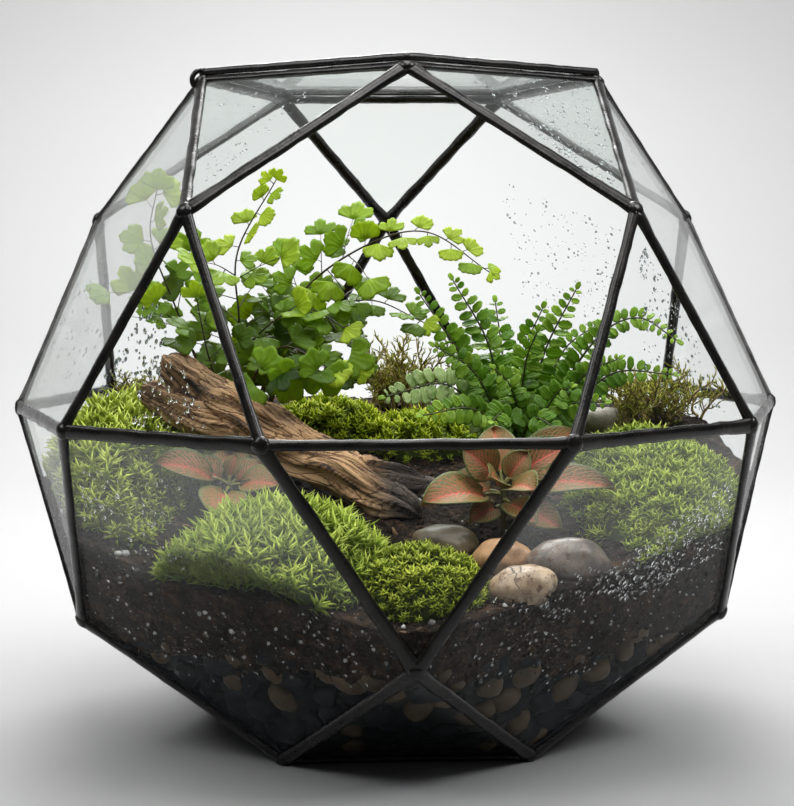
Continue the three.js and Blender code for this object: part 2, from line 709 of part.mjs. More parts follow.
const maidenhairFronds = {
  maidenhair_tall: {
    crown: [-74, 28],
    fronds: [
      {
        ...maidenhair, count: 9, rooted: true,
        stops: [[-73, 24, 140], [-72, 14, 180], [-72, 6, 212], [-54, -5, 244]],
      },
      { ...twig, count: 4, stops: [[-73, 21, 160], [-62, 10, 176], [-46, 2, 188]] },
    ],
  },
  maidenhair_left: {
    crown: [-79, 31],
    fronds: [
      {
        ...maidenhair, count: 8, rooted: true,
        stops: [[-86, 26, 145], [-100, 16, 185], [-111, 11, 218], [-108, 10, 240]],
      },
      { ...twig, count: 4, stops: [[-85, 27, 140], [-98, 16, 158], [-110, 4, 170]] },
    ],
  },
  maidenhair_arch: {
    crown: [-69, 31],
    fronds: [
      {
        ...maidenhair, count: 10, bare: 0.45,
        rooted: true, stops: [[-62, 30, 150], [-46, 20, 190], [-18, 9, 213], [12, -2, 221], [40, -10, 203]],
      },
      { ...twig, count: 4, stops: [[-50, 23, 183], [-38, 8, 186], [-24, -2, 178]] },
    ],
  },
  maidenhair_middle: {
    crown: [-66, 37],
    fronds: [
      {
        ...maidenhair, count: 8, rooted: true,
        stops: [[-56, 37, 150], [-36, 30, 182], [-12, 18, 190], [12, 8, 180]],
      },
      { ...twig, count: 4, stops: [[-46, 34, 168], [-34, 20, 160], [-18, 8, 152]] },
    ],
  },
  maidenhair_low: {
    crown: [-75, 22],
    fronds: [
      { ...maidenhair, count: 6, rooted: true, stops: [[-79, 14, 140], [-88, 4, 168], [-93, -2, 192]] },
      {
        ...maidenhair, count: 6, length: 16, width: 15, rooted: true,
        stops: [[-68, 12, 150], [-52, -2, 168], [-30, -14, 155]],
      },
    ],
  },
};
const buttonFern = {
  shape: 'round', length: 9.5, width: 6, forward: 22 * degrees, alternate: false,
  facing: upwards, bare: 0.3, count: 6,
};
const buttonFernFronds = {
  button_fern_left: {
    crown: [51, 16],
    fronds: [
      {
        ...buttonFern, rooted: true, facing: towardsViewer,
        stops: [[49, 16, 135], [42, 18, 170], [26, 20, 199]],
      },
      {
        ...buttonFern, rooted: true, facing: towardsViewer,
        stops: [[46, 15, 128], [32, 12, 160], [10, 10, 193]],
      },
      { ...buttonFern, rooted: true, stops: [[42, 9, 132], [22, 3, 152], [-6, 0, 147]] },
    ],
  },
  button_fern_tall: {
    crown: [57, 15],
    fronds: [
      {
        ...buttonFern, rooted: true, facing: towardsViewer,
        stops: [[59, 13, 135], [68, 10, 168], [81, 5, 195]],
      },
      {
        ...buttonFern, rooted: true, facing: towardsViewer,
        stops: [[55, 22, 140], [60, 20, 168], [67, 16, 186]],
      },
      {
        ...buttonFern, rooted: true, facing: towardsViewer,
        stops: [[53, 28, 140], [50, 38, 170], [48, 44, 188]],
      },
    ],
  },
  button_fern_right: {
    crown: [62, 13],
    fronds: [
      {
        ...buttonFern, rooted: true,
        stops: [[70, 10, 140], [90, 5, 172], [108, 0, 182], [125, -5, 172]],
      },
      { ...buttonFern, rooted: true, stops: [[75, 13, 134], [98, 9, 156], [125, 4, 156]] },
    ],
  },
  button_fern_low: {
    crown: [58, 8],
    fronds: [
      { ...buttonFern, rooted: true, stops: [[64, 3, 128], [76, -6, 143], [91, -14, 145]] },
      { ...buttonFern, rooted: true, stops: [[56, 0, 126], [60, -12, 138], [69, -24, 134]] },
    ],
  },
};

// Twiggy sprigs: wiry stems that fan out of one crown, with short side shoots.
const sprigClumps = {
  sprigs_rear: { crown: [6, 84], spread: 24, height: 38, stems: 4 },
  sprigs_right: { crown: [126, 50], spread: 18, height: 26, stems: 4 },
  sprigs_left: { crown: [-118, 58], spread: 16, height: 24, stems: 3 },
};
const sprigShoots = 2;
const shootLength = 6;
const sprigRadius = 0.75;
const shootRadius = 0.6;
function stalk(from, to, radius) {
  const tangent = to.clone().sub(from).normalize();
  const side = new THREE.Vector3().crossVectors(tangent, vector(1, 0.2, 0)).normalize();
  const over = new THREE.Vector3().crossVectors(tangent, side);
  const ring = (point) => [0, 1, 2].map((k) => point.clone()
    .addScaledVector(side, radius * Math.cos(k * 120 * degrees))
    .addScaledVector(over, radius * Math.sin(k * 120 * degrees)));
  return loft([ring(from), ring(to)]);
}
function sprigBodies({ crown, spread, height, stems }) {
  const [x, y] = crown;
  const level = groundHeight(x, y);
  return Array.from({ length: stems }, (_, k) => {
    const aside = spread * (2 * (k / (stems - 1)) - 1);
    const back = 12 * (scatter(k + spread) - 0.5);
    const root = vector(...rootIn(crown, k));
    const tip = vector(x + aside, y + back, level + height * (0.7 + 0.4 * scatter(k * 3 + height)));
    const shoots = Array.from({ length: sprigShoots }, (__, j) => {
      const foot = root.clone().lerp(tip, 0.5 + 0.35 * j);
      const way = vector(j % 2 ? 0.7 : -0.7, scatter(j + k) - 0.5, 1).normalize();
      return spike(foot, foot.clone().addScaledVector(way, shootLength), shootRadius);
    });
    return [stalk(root, tip, sprigRadius), ...shoots];
  }).flat();
}

// A broad nerve-plant leaf: rows of left edge, rib and right edge along an arched rib.
const nerveRows = [[0, 0.06], [0.28, 0.44], [0.66, 0.46], [1, 0.05]];
const nerveFold = 0.16;
const nerveArch = 0.14;
const nerveStemRadius = 1.8;
function nerveLeaf([x, y], { from, tip, width, facing = upwards }) {
  const start = vector(x, y, from);
  const along = vector(...tip).sub(start);
  const length = along.length();
  const tangent = along.clone().normalize();
  const normal = facing.clone().addScaledVector(tangent, -facing.dot(tangent)).normalize();
  const side = new THREE.Vector3().crossVectors(tangent, normal);
  const points = nerveRows.flatMap(([share, half], row) => {
    const rib = start.clone().addScaledVector(along, share)
      .addScaledVector(normal, nerveArch * length * Math.sin(share * Math.PI));
    const wave = 0.4 * (row % 2 ? 1 : -1);
    return [1, 0, -1].map((way) => rib.clone().addScaledVector(side, way * half * width)
      .addScaledVector(normal, Math.abs(way) * (nerveFold * half * width + wave)));
  });
  const normals = points.map(() => normal);
  const triangles = [];
  for (let row = 0; row < nerveRows.length - 1; row += 1) {
    const a = 3 * row;
    triangles.push([a, a + 3, a + 1], [a + 1, a + 3, a + 4]);
    triangles.push([a + 1, a + 4, a + 5], [a + 1, a + 5, a + 2]);
  }
  return { points, normals, triangles };
}
const nervePlants = {
  nerve_plant_left: {
    crown: [-75, -32], top: 113,
    leaves: [
      { from: 112, tip: [-106, -42, 123], width: 18 },
      { from: 111, tip: [-79, -62, 101], width: 20 },
      { from: 112, tip: [-75, -12, 124], width: 16 },
      { from: 111, tip: [-52, -40, 113], width: 17 },
      { from: 112, tip: [-72, -29, 125], width: 7 },
    ],
  },
  nerve_plant_right: {
    crown: [41, -58], top: 115,
    leaves: [
      { from: 110, tip: [6, -78, 110], width: 20 },
      { from: 114, tip: [24, -62, 131], width: 16, facing: towardsViewer },
      { from: 113, tip: [53, -80, 115], width: 16 },
      { from: 114, tip: [70, -50, 130], width: 19, facing: towardsViewer },
      { from: 112, tip: [87, -66, 114], width: 17 },
      { from: 114, tip: [39, -40, 137], width: 17, facing: towardsViewer },
      { from: 114, tip: [75, -40, 135], width: 16, facing: towardsViewer },
      { from: 110, tip: [17, -46, 113], width: 16 },
      { from: 108, tip: [52, -82, 101], width: 14 },
    ],
  },
};

// Each piece that grows is cut clear of all that was placed before it, in this order: the nerve
// plants, the moss, then the ferns and the sprigs.
const placed = [woodClear, stonesClear];
function grow(name, body, material) {
  const whole = body.intersect(cavity);
  const inTheWay = placed.filter((other) => boxesMeet(whole, other));
  const grown = fewFaces(mainBody(whole.subtract(joined(inTheWay))));
  placed.push(padded(grown));
  addPiece(name, grown, material);
}
function plant(name, crown, bodies, material) {
  grow(name, joined(bodies).subtract(raisedGround).add(crownStub(crown, 0)), material);
}
for (const [name, { crown, top, leaves }] of Object.entries(nervePlants)) {
  const [x, y] = crown;
  const stem = stalk(vector(x, y, groundHeight(x, y)), vector(x, y, top), nerveStemRadius);
  const blades = leaves.map((leaf) => sheetSolid(nerveLeaf(crown, leaf)));
  plant(name, crown, [stem, ...blades], finish.nerveLeaf);
}
for (const { name, domes, blades, bladeLength } of mosses) {
  const bodies = domes.flatMap((each) => [dome(each), ...domeBlades(each, blades, bladeLength)]);
  grow(name, joined(bodies).subtract(raisedGround), finish.moss);
}
function plantFern(name, { crown, fronds }, material) {
  const sheets = fronds.map((frond, k) => {
    const stops = frond.rooted ? [rootIn(crown, k), ...frond.stops] : frond.stops;
    return sheetSolid(frondSheet({ ...frond, stops }));
  });
  plant(name, crown, sheets, material);
}
for (const [name, fern] of Object.entries(buttonFernFronds)) {
  plantFern(name, fern, finish.buttonFern);
}
for (const [name, fern] of Object.entries(maidenhairFronds)) {
  plantFern(name, fern, finish.maidenhair);
}
for (const [name, clump] of Object.entries(sprigClumps)) {
  plant(name, clump.crown, sprigBodies(clump), finish.sprig);
}

// The soil fills the vessel over the gravel, with a hollow for each thing that lies in it and a plain
// hole for each crown.
const holes = [nervePlants, buttonFernFronds, maidenhairFronds, sprigClumps]
  .flatMap((group) => Object.values(group))
  .map(({ crown }) => crownStub(crown, fitGap));
const soil = ground.intersect(cavity).subtract(joined([woodClear, stonesClear, ...holes]));
addPiece('soil', fewFaces(mainBody(soil)), finish.soil);

terrarium.updateMatrixWorld(true);
export default terrarium;
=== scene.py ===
# A planted glass terrarium: a many-sided vessel of flat panes in dark soldered seams, with ferns,
# moss, driftwood and stones on damp soil over pebbles.
# Sizes are in millimetres in the frame's axes, and each mesh is written in metres.
import math
import random

import bmesh
import bpy
from mathutils import Matrix, Quaternion, Vector, noise


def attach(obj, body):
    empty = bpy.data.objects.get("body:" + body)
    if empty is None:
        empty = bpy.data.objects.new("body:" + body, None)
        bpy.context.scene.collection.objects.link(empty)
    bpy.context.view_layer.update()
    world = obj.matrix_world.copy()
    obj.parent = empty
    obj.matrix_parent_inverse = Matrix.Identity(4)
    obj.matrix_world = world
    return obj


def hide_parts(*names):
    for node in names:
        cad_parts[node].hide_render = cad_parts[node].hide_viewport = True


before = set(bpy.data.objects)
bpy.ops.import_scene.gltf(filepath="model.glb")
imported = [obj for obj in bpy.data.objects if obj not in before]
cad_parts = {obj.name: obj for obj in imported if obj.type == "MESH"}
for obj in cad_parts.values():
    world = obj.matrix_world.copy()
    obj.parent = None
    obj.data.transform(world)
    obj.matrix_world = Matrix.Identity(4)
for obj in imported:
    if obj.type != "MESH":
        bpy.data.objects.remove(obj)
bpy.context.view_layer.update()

MM = 0.001
UP = Vector((0, 0, 1))
FULL_TURN = 2 * math.pi

# The vessel, as in the part's source.
EQUATOR_RADIUS = 170
EQUATOR_TURN = 1.35
TOP_RADIUS = 88.8
TOP_RISE = 141.8
SHOULDER_RADIUS = 145.5
HIP_RADIUS = 144.3
HIP_DROP = 87.1
BASE_RADIUS = 87.9
SEAM_HALF = 1.8
GLASS_HALF = 0.9
FIT_GAP = 0.25
GRAVEL_TOP = 54
BAND_HEIGHT = 3.2
BAND_WIDTH = 5
BAND_OVERHANG = 1.2

# The camera, as the photograph was taken.
CAMERA_PLACE = Vector((-33.43, -782.71, 213.20))
CAMERA_YAW = 0.0417
CAMERA_PITCH = -0.0879
CAMERA_ROLL = -0.0040
CAMERA_LENS = 77.914
PHOTO_WIDTH = 794
PHOTO_HEIGHT = 806
PIXELS_PER_SLOPE = 1744.39


def camera_axes():
    ahead = Vector((
        math.sin(CAMERA_YAW) * math.cos(CAMERA_PITCH),
        math.cos(CAMERA_YAW) * math.cos(CAMERA_PITCH),
        math.sin(CAMERA_PITCH),
    ))
    level_right = Vector((math.cos(CAMERA_YAW), -math.sin(CAMERA_YAW), 0))
    level_up = level_right.cross(ahead)
    right = level_right * math.cos(CAMERA_ROLL) + level_up * math.sin(CAMERA_ROLL)
    return right, right.cross(ahead), ahead


RIGHTWARDS, UPWARDS, AHEAD = camera_axes()


def set_camera():
    camera = bpy.data.objects.new("camera", bpy.data.cameras.new("camera"))
    camera.data.lens = CAMERA_LENS
    camera.data.sensor_width = 36
    camera.data.clip_end = 20
    turn = Matrix((RIGHTWARDS, UPWARDS, -AHEAD)).transposed()
    camera.matrix_world = Matrix.Translation(CAMERA_PLACE * MM) @ turn.to_4x4()
    bpy.context.collection.objects.link(camera)
    bpy.context.scene.camera = camera


def sight_line(across, down):
    """The way from the camera through a pixel of the photograph."""
    way = AHEAD * PIXELS_PER_SLOPE
    way += RIGHTWARDS * (across - PHOTO_WIDTH / 2) - UPWARDS * (down - PHOTO_HEIGHT / 2)
    return way.normalized()


# The vessel's corners and faces.
HALF_STEP = math.radians(36)
GATHER_REACH = EQUATOR_RADIUS * math.cos(math.radians(18 + EQUATOR_TURN))
TUCK_REACH = EQUATOR_RADIUS * math.cos(math.radians(18 - EQUATOR_TURN))
SHOULDER_REACH = SHOULDER_RADIUS * math.cos(HALF_STEP)
SHOULDER_RISE = TOP_RISE * (SHOULDER_REACH - GATHER_REACH) / (TOP_RADIUS - GATHER_REACH)
BASE_DROP = HIP_DROP * (BASE_RADIUS - TUCK_REACH) / (HIP_RADIUS * math.cos(HALF_STEP) - TUCK_REACH)
EQUATOR_HEIGHT = BASE_DROP + SEAM_HALF
CENTRE_SHIFT = EQUATOR_RADIUS * math.sin(math.radians(18)) * math.sin(math.radians(EQUATOR_TURN))
MIDDLE = Vector((0, -CENTRE_SHIFT, EQUATOR_HEIGHT))
BAND_FLOOR = EQUATOR_HEIGHT + TOP_RISE + SEAM_HALF + FIT_GAP


def corner(radius, azimuth, rise):
    turn = math.radians(azimuth)
    return MIDDLE + Vector((radius * math.sin(turn), -radius * math.cos(turn), rise))


def top_corner(azimuth):
    return corner(TOP_RADIUS, azimuth, TOP_RISE)


def shoulder_corner(azimuth):
    return corner(SHOULDER_RADIUS, azimuth, SHOULDER_RISE)


def equator_corner(azimuth, side):
    return corner(EQUATOR_RADIUS, azimuth + side * (18 + EQUATOR_TURN), 0)


def hip_corner(azimuth):
    return corner(HIP_RADIUS, azimuth, -HIP_DROP)


def base_corner(azimuth):
    return corner(BASE_RADIUS, azimuth, -BASE_DROP)


WAY_NAMES = {
    0: "front", 36: "front_right", 72: "right", 108: "right_rear", 144: "rear_right",
    180: "rear", 216: "rear_left", 252: "left_rear", 288: "left", 324: "front_left",
}
FIFTHS = [0, 72, 144, 216, 288]


class Face:
    """A flat side of the vessel: its corners in order, and the way that it looks."""

    def __init__(self, corners):
        normal = (corners[1] - corners[0]).cross(corners[2] - corners[0]).normalized()
        self.middle = sum(corners, Vector()) / len(corners)
        outward = normal.dot(self.middle - MIDDLE) > 0
        self.normal = normal if outward else -normal
        self.corners = corners if outward else corners[::-1]

    def edges(self):
        return zip(self.corners, self.corners[1:] + self.corners[:1])

    def depth_inside(self, point):
        """How far a point lies within the face's outline."""
        return min(self.normal.cross(end - start).normalized().dot(point - start)
                   for start, end in self.edges())


def vessel_faces():
    faces = {
        "top": Face([top_corner(azimuth) for azimuth in FIFTHS]),
        "base": Face([base_corner(azimuth + 36) for azimuth in FIFTHS]),
    }
    for azimuth in FIFTHS:
        way = WAY_NAMES[azimuth]
        between = WAY_NAMES[azimuth + 36]
        faces["upper_" + way] = Face([
            top_corner(azimuth), shoulder_corner(azimuth + 36), equator_corner(azimuth, 1),
            equator_corner(azimuth, -1), shoulder_corner(azimuth - 36),
        ])
        faces["crown_" + between] = Face([
            top_corner(azimuth), top_corner(azimuth + 72), shoulder_corner(azimuth + 36),
        ])
        faces["shoulder_" + between] = Face([
            shoulder_corner(azimuth + 36), equator_corner(azimuth, 1), equator_corner(azimuth + 72, -1),
        ])
        faces["hip_" + way] = Face([
            hip_corner(azimuth), equator_corner(azimuth, -1), equator_corner(azimuth, 1),
        ])
        faces["lower_" + between] = Face([
            hip_corner(azimuth), equator_corner(azimuth, 1), equator_corner(azimuth + 72, -1),
            hip_corner(azimuth + 72), base_corner(azimuth + 36),
        ])
        faces["foot_" + way] = Face([
            base_corner(azimuth - 36), base_corner(azimuth + 36), hip_corner(azimuth),
        ])
    return faces


FACES = vessel_faces()
OPEN_FACE = "upper_front"
GLAZED = [name for name in FACES if name not in (OPEN_FACE, "top")]


# The ground rises from the front glass to the back, as in the part's source.
GROUND_FRONT = 77
GROUND_CLIMB = 57


def ground_height(x, y):
    share = min(max((y + 140) / 240, 0), 1)
    climb = share * share * (3 - 2 * share)
    bank = 9 * (x / 130) ** 2 * (1 - 0.7 * climb)
    front_dip = 6 * math.exp(-((x / 45) ** 2) - ((y + 150) / 30) ** 2)
    left_dip = 9 * math.exp(-(((x + 100) / 38) ** 2) - ((y + 95) / 32) ** 2)
    bumps = 1.2 * math.sin(x / 13) * math.cos(y / 11)
    return GROUND_FRONT + GROUND_CLIMB * climb + bank - front_dip - left_dip + bumps


def glass_met(azimuth, height, inset=0):
    """How far out the glass lies from the vessel's axis, at an azimuth and a height, and the face there."""
    way = Vector((math.sin(azimuth), -math.cos(azimuth), 0))
    start = Vector((0, -CENTRE_SHIFT, height))
    return min(
        ((face.normal.dot(face.middle - start) - inset) / face.normal.dot(way), name)
        for name, face in FACES.items() if face.normal.dot(way) > 0.01
    )


def reach_inside(azimuth, height, inset):
    return glass_met(azimuth, height, inset)[0]


def depth_behind_glass(point):
    return min(face.normal.dot(face.middle - point) for face in FACES.values())


def shake(draw, amount):
    """A small random shift in all three axes."""
    return Vector([draw.gauss(0, amount) for _ in range(3)])


def off_axis(azimuth, distance, height):
    return Vector((distance * math.sin(azimuth), -distance * math.cos(azimuth) - CENTRE_SHIFT, height))


def held_off_glass(points, clearance=GLASS_HALF + 0.35):
    """Bends points that reach the glass back along it, as a leaf pressed on a pane lies."""
    bent = []
    for point in points:
        for face in FACES.values():
            gap = face.normal.dot(face.middle - point) - clearance
            if gap < 0:
                point = point + face.normal * gap
        bent.append(point)
    return bent


# Meshes are gathered in a heap of points and faces, then become one piece.
class Heap:
    """Points and faces with a tint for each point, gathered before they become a mesh."""

    def __init__(self):
        self.points = []
        self.faces = []
        self.tints = []
        self.maps = []
        self.finishes = []

    def add(self, points, faces, tint=0.5, spread=None, finish=0):
        base = len(self.points)
        self.points.extend(points)
        self.faces.extend([tuple(k + base for k in face) for face in faces])
        self.tints.extend([tint] * len(points))
        self.maps.extend(spread or [(0.5, 0.5)] * len(points))
        self.finishes.extend([finish] * len(faces))

    def add_copy(self, shape, place, tint=0.5, finish=0):
        """A copy of a shape, put where a matrix says."""
        self.add([place @ point for point in shape.points], shape.faces, tint, shape.maps, finish)


def new_piece(name, heap, finishes):
    """One object of the heap's points and faces, in metres."""
    mesh = bpy.data.meshes.new(name)
    mesh.from_pydata([point * MM for point in heap.points], [], heap.faces)
    tint = mesh.attributes.new("tint", "FLOAT", "POINT")
    tint.data.foreach_set("value", heap.tints)
    spread = mesh.uv_layers.new(name="leaf_map")
    flat = [number for loop in mesh.loops for number in heap.maps[loop.vertex_index]]
    spread.data.foreach_set("uv", flat)
    mesh.polygons.foreach_set("material_index", heap.finishes)
    mesh.polygons.foreach_set("use_smooth", [True] * len(mesh.polygons))
    for finish in finishes:
        mesh.materials.append(finish)
    piece = bpy.data.objects.new(name, mesh)
    bpy.context.collection.objects.link(piece)
    return piece


def settle(piece, slot_name, *nodes):
    """A finished piece rides on the vessel and stands for its CAD nodes."""
    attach(piece, "root")
    if nodes:
        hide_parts(*nodes)


def add_modifier(piece, kind, **settings):
    """Adds a modifier and applies it, with only the piece selected."""
    for each in bpy.context.selected_objects:
        each.select_set(False)
    piece.select_set(True)
    bpy.context.view_layer.objects.active = piece
    modifier = piece.modifiers.new(kind.lower(), kind)
    for key, value in settings.items():
        setattr(modifier, key, value)
    bpy.ops.object.modifier_apply(modifier=modifier.name)


def thicken(piece, thickness):
    add_modifier(piece, "SOLIDIFY", thickness=thickness * MM, offset=0, use_even_offset=False)


def shape_of(piece):
    """Takes a modelled piece's mesh as a shape to copy, and removes the piece."""
    heap = Heap()
    points = [vertex.co / MM for vertex in piece.data.vertices]
    heap.add(points, [tuple(face.vertices) for face in piece.data.polygons])
    bpy.data.objects.remove(piece)
    return heap


def ball_shape(subdivisions):
    """A ball of one unit's radius, as a shape to copy or press."""
    bpy.ops.mesh.primitive_ico_sphere_add(subdivisions=subdivisions, radius=MM)
    return shape_of(bpy.context.object)


def frame_matrix(place, along, up, size=1.0):
    """Puts a shape's Y axis along a way and its Z axis towards another."""
    along = along.normalized()
    side = along.cross(up)
    if side.length < 1e-6:
        side = along.orthogonal()
    side.normalize()
    over = side.cross(along)
    turn = Matrix((side, along, over)).transposed()
    return Matrix.Translation(place) @ turn.to_4x4() @ Matrix.Scale(size, 4)


def curve_points(stops, count):
    """Evenly spread points on a smooth curve through stops."""
    stops = [Vector(stop) for stop in stops]
    ends = [2 * stops[0] - stops[1]] + stops + [2 * stops[-1] - stops[-2]]
    fine = []
    for a, b, c, d in zip(ends, ends[1:], ends[2:], ends[3:]):
        for step in range(12):
            t = step / 12
            fine.append(0.5 * (2 * b + (c - a) * t + (2 * a - 5 * b + 4 * c - d) * t ** 2
                               + (3 * b - a - 3 * c + d) * t ** 3))
    fine.append(stops[-1])
    lengths = [0]
    for start, end in zip(fine, fine[1:]):
        lengths.append(lengths[-1] + (end - start).length)
    points = []
    at = 0
    for k in range(count):
        goal = lengths[-1] * k / (count - 1)
        while at < len(fine) - 2 and lengths[at + 1] < goal:
            at += 1
        share = (goal - lengths[at]) / max(lengths[at + 1] - lengths[at], 1e-9)
        points.append(fine[at].lerp(fine[at + 1], share))
    return points


def ring_faces(rings, sides):
    """The quads between closed rings of points that follow one another."""
    faces = []
    for k in range(rings - 1):
        for j in range(sides):
            a = k * sides + j
            b = k * sides + (j + 1) % sides
            faces.append((a, b, b + sides, a + sides))
    return faces


def closed_tube_faces(rings, sides):
    last = (rings - 1) * sides
    ends = [tuple(range(sides))[::-1], tuple(range(last, last + sides))]
    return ring_faces(rings, sides) + ends


def grid_faces(rows, columns, first=0):
    """The quads of a sheet of points laid out row by row."""
    faces = []
    for j in range(rows):
        for k in range(columns):
            a = first + j * (columns + 1) + k
            faces.append((a, a + 1, a + columns + 2, a + columns + 1))
    return faces


def add_tube(heap, points, radii, sides=6, tint=0.5, finish=0):
    """A closed round stem through points."""
    rows = []
    way = (points[1] - points[0]).normalized()
    side = way.orthogonal().normalized()
    for k, point in enumerate(points):
        ahead = points[min(k + 1, len(points) - 1)] - points[max(k - 1, 0)]
        ahead.normalize()
        side = (side - ahead * side.dot(ahead)).normalized()
        over = ahead.cross(side)
        for j in range(sides):
            turn = FULL_TURN * j / sides
            rows.append(point + (side * math.cos(turn) + over * math.sin(turn)) * radii[k])
    heap.add(rows, closed_tube_faces(len(points), sides), tint, finish=finish)


def dimmed(colour, share):
    """A colour with only a share of its light."""
    return tuple(part * share for part in colour)


# Finishes are mixed from nodes on Object coordinates, a piece's own tint, or its leaf map.
class Recipe:
    """A material being mixed. Each method adds one node and gives back its output."""

    def __init__(self, name):
        self.material = bpy.data.materials.new(name)
        self.material.use_nodes = True
        self.tree = self.material.node_tree
        self.skin = self.tree.nodes["Principled BSDF"]
        self.output = self.tree.nodes["Material Output"]
        self.place = self.tree.nodes.new("ShaderNodeTexCoord").outputs["Object"]

    def fill(self, socket, value):
        if isinstance(value, bpy.types.NodeSocket):
            self.tree.links.new(value, socket)
        else:
            socket.default_value = value

    def add(self, kind, inputs=None, **settings):
        node = self.tree.nodes.new("ShaderNode" + kind)
        for key, value in settings.items():
            setattr(node, key, value)
        for key, value in (inputs or {}).items():
            self.fill(node.inputs[key], value)
        return node

    def skin_set(self, **values):
        for key, value in values.items():
            self.fill(self.skin.inputs[key.replace("_", " ")], value)

    def noise(self, scale, detail=3, rough=0.6, place=None, distortion=0):
        return self.add("TexNoise", {
            "Vector": place or self.place, "Scale": scale, "Detail": detail,
            "Roughness": rough, "Distortion": distortion,
        }).outputs["Fac"]

    def cells(self, scale, feature="F1", place=None):
        return self.add("TexVoronoi", {"Vector": place or self.place, "Scale": scale}, feature=feature)

    def axis(self, name):
        return self.add("SeparateXYZ", {"Vector": self.place}).outputs[name]

    def stretched(self, sizes, turn=(0, 0, 0)):
        return self.add("Mapping", {"Vector": self.place, "Scale": sizes, "Rotation": turn}).outputs[0]

    def ramp(self, fac, *stops):
        node = self.add("ValToRGB", {"Fac": fac})
        marks = node.color_ramp.elements
        while len(marks) < len(stops):
            marks.new(0.5)
        for mark, (at, colour) in zip(marks, stops):
            mark.position = at
            mark.color = (*colour, 1)
        return node.outputs["Color"]

    def levels(self, fac, low, high, to_low=0.0, to_high=1.0):
        return self.add("MapRange", {
            "Value": fac, "From Min": low, "From Max": high, "To Min": to_low, "To Max": to_high,
        }).outputs["Result"]

    def mix(self, fac, one, other, blend="MIX"):
        node = self.add("Mix", data_type="RGBA", blend_type=blend)
        self.fill(node.inputs[0], fac)
        for socket, value in ((node.inputs[6], one), (node.inputs[7], other)):
            self.fill(socket, value if isinstance(value, bpy.types.NodeSocket) else (*value, 1))
        return node.outputs[2]

    def sum(self, one, other, operation="ADD"):
        node = self.add("Math", operation=operation)
        self.fill(node.inputs[0], one)
        self.fill(node.inputs[1], other)
        return node.outputs[0]

    def product(self, one, other):
        return self.sum(one, other, "MULTIPLY")

    def patches(self, scale, detail, low, high, least=0.0, most=1.0, rough=0.6):
        """Soft patches of noise, from the least to the most between two levels of it."""
        return self.levels(self.noise(scale, detail, rough), low, high, least, most)

    def bump(self, height, strength, distance, normal=None):
        node = self.add("Bump", {"Height": height, "Strength": strength, "Distance": distance * MM})
        if normal is not None:
            self.fill(node.inputs["Normal"], normal)
        return node.outputs[0]

    def tint(self):
        return self.add("Attribute", attribute_name="tint").outputs["Fac"]

    def leaf_map(self):
        return self.add("UVMap", uv_map="leaf_map").outputs["UV"]

    def shine_through(self, colour, share, normal=None):
        """Lets part of the light from behind through, as a leaf does."""
        through = self.add("BsdfTranslucent", {"Color": colour})
        if normal is not None:
            self.fill(through.inputs["Normal"], normal)
        both = self.add("MixShader", {"Fac": share})
        self.tree.links.new(self.skin.outputs[0], both.inputs[1])
        self.tree.links.new(through.outputs[0], both.inputs[2])
        self.tree.links.new(both.outputs[0], self.output.inputs["Surface"])


def patinated_solder():
    recipe = Recipe("patinated_solder")
    mottle = recipe.noise(70, 4)
    grain = recipe.noise(700, 3)
    worn = recipe.patches(190, 5, 0.6, 0.78, 0, 0.7, 0.75)
    dark = recipe.ramp(mottle, (0.3, (0.006, 0.005, 0.005)), (0.7, (0.018, 0.016, 0.014)))
    recipe.skin_set(
        Base_Color=recipe.mix(worn, dark, (0.085, 0.075, 0.068)),
        Metallic=0.3,
        Specular_IOR_Level=0.35,
        Roughness=recipe.levels(mottle, 0.3, 0.7, 0.20, 0.36),
        Coat_Weight=0.2,
        Coat_Roughness=0.2,
        Normal=recipe.bump(grain, 0.35, 0.25, recipe.bump(mottle, 0.5, 0.8)),
    )
    return recipe.material


def pane_glass(name, colour, mist, upper_mist=None, mirror_share=(0.004, 0.5)):
    """A clear sheet that mirrors more at a slant, with mist on it in soft clouds."""
    recipe = Recipe(name)
    recipe.tree.nodes.remove(recipe.skin)
    clear = recipe.add("BsdfTransparent", {"Color": (*colour, 1)})
    mirror = recipe.add("BsdfAnisotropic", {"Color": (1, 1, 1, 1), "Roughness": 0.015})
    slant = recipe.add("LayerWeight", {"Blend": 0.5}).outputs["Facing"]
    shine = recipe.levels(recipe.sum(slant, 3.5, "POWER"), 0, 1, *mirror_share)
    sheet = recipe.add("MixShader", {"Fac": shine, 1: clear.outputs[0], 2: mirror.outputs[0]})
    front = recipe.add("BsdfDiffuse", {"Color": (0.93, 0.95, 0.96, 1)})
    through = recipe.add("BsdfTranslucent", {"Color": (0.93, 0.95, 0.96, 1)})
    fog = recipe.add("MixShader", {"Fac": 0.5, 1: front.outputs[0], 2: through.outputs[0]})
    clouds = recipe.patches(9, 4, 0.3, 0.72, mist * 0.35, mist * 1.5, 0.62)
    if upper_mist:
        from_height, to_height, most = upper_mist
        veil = recipe.levels(recipe.axis("Z"), from_height * MM, to_height * MM, 0, most)
        patches = recipe.patches(13, 3, 0.3, 0.7, 0.45, 1.2, 0.5)
        clouds = recipe.sum(clouds, recipe.product(veil, patches))
    film = recipe.add("MixShader", {"Fac": clouds, 1: sheet.outputs[0], 2: fog.outputs[0]})
    recipe.tree.links.new(film.outputs[0], recipe.output.inputs["Surface"])
    return recipe.material


def water(name, colour):
    recipe = Recipe(name)
    recipe.skin_set(Base_Color=(*colour, 1), Transmission_Weight=1.0, IOR=1.33, Roughness=0.0)
    return recipe.material


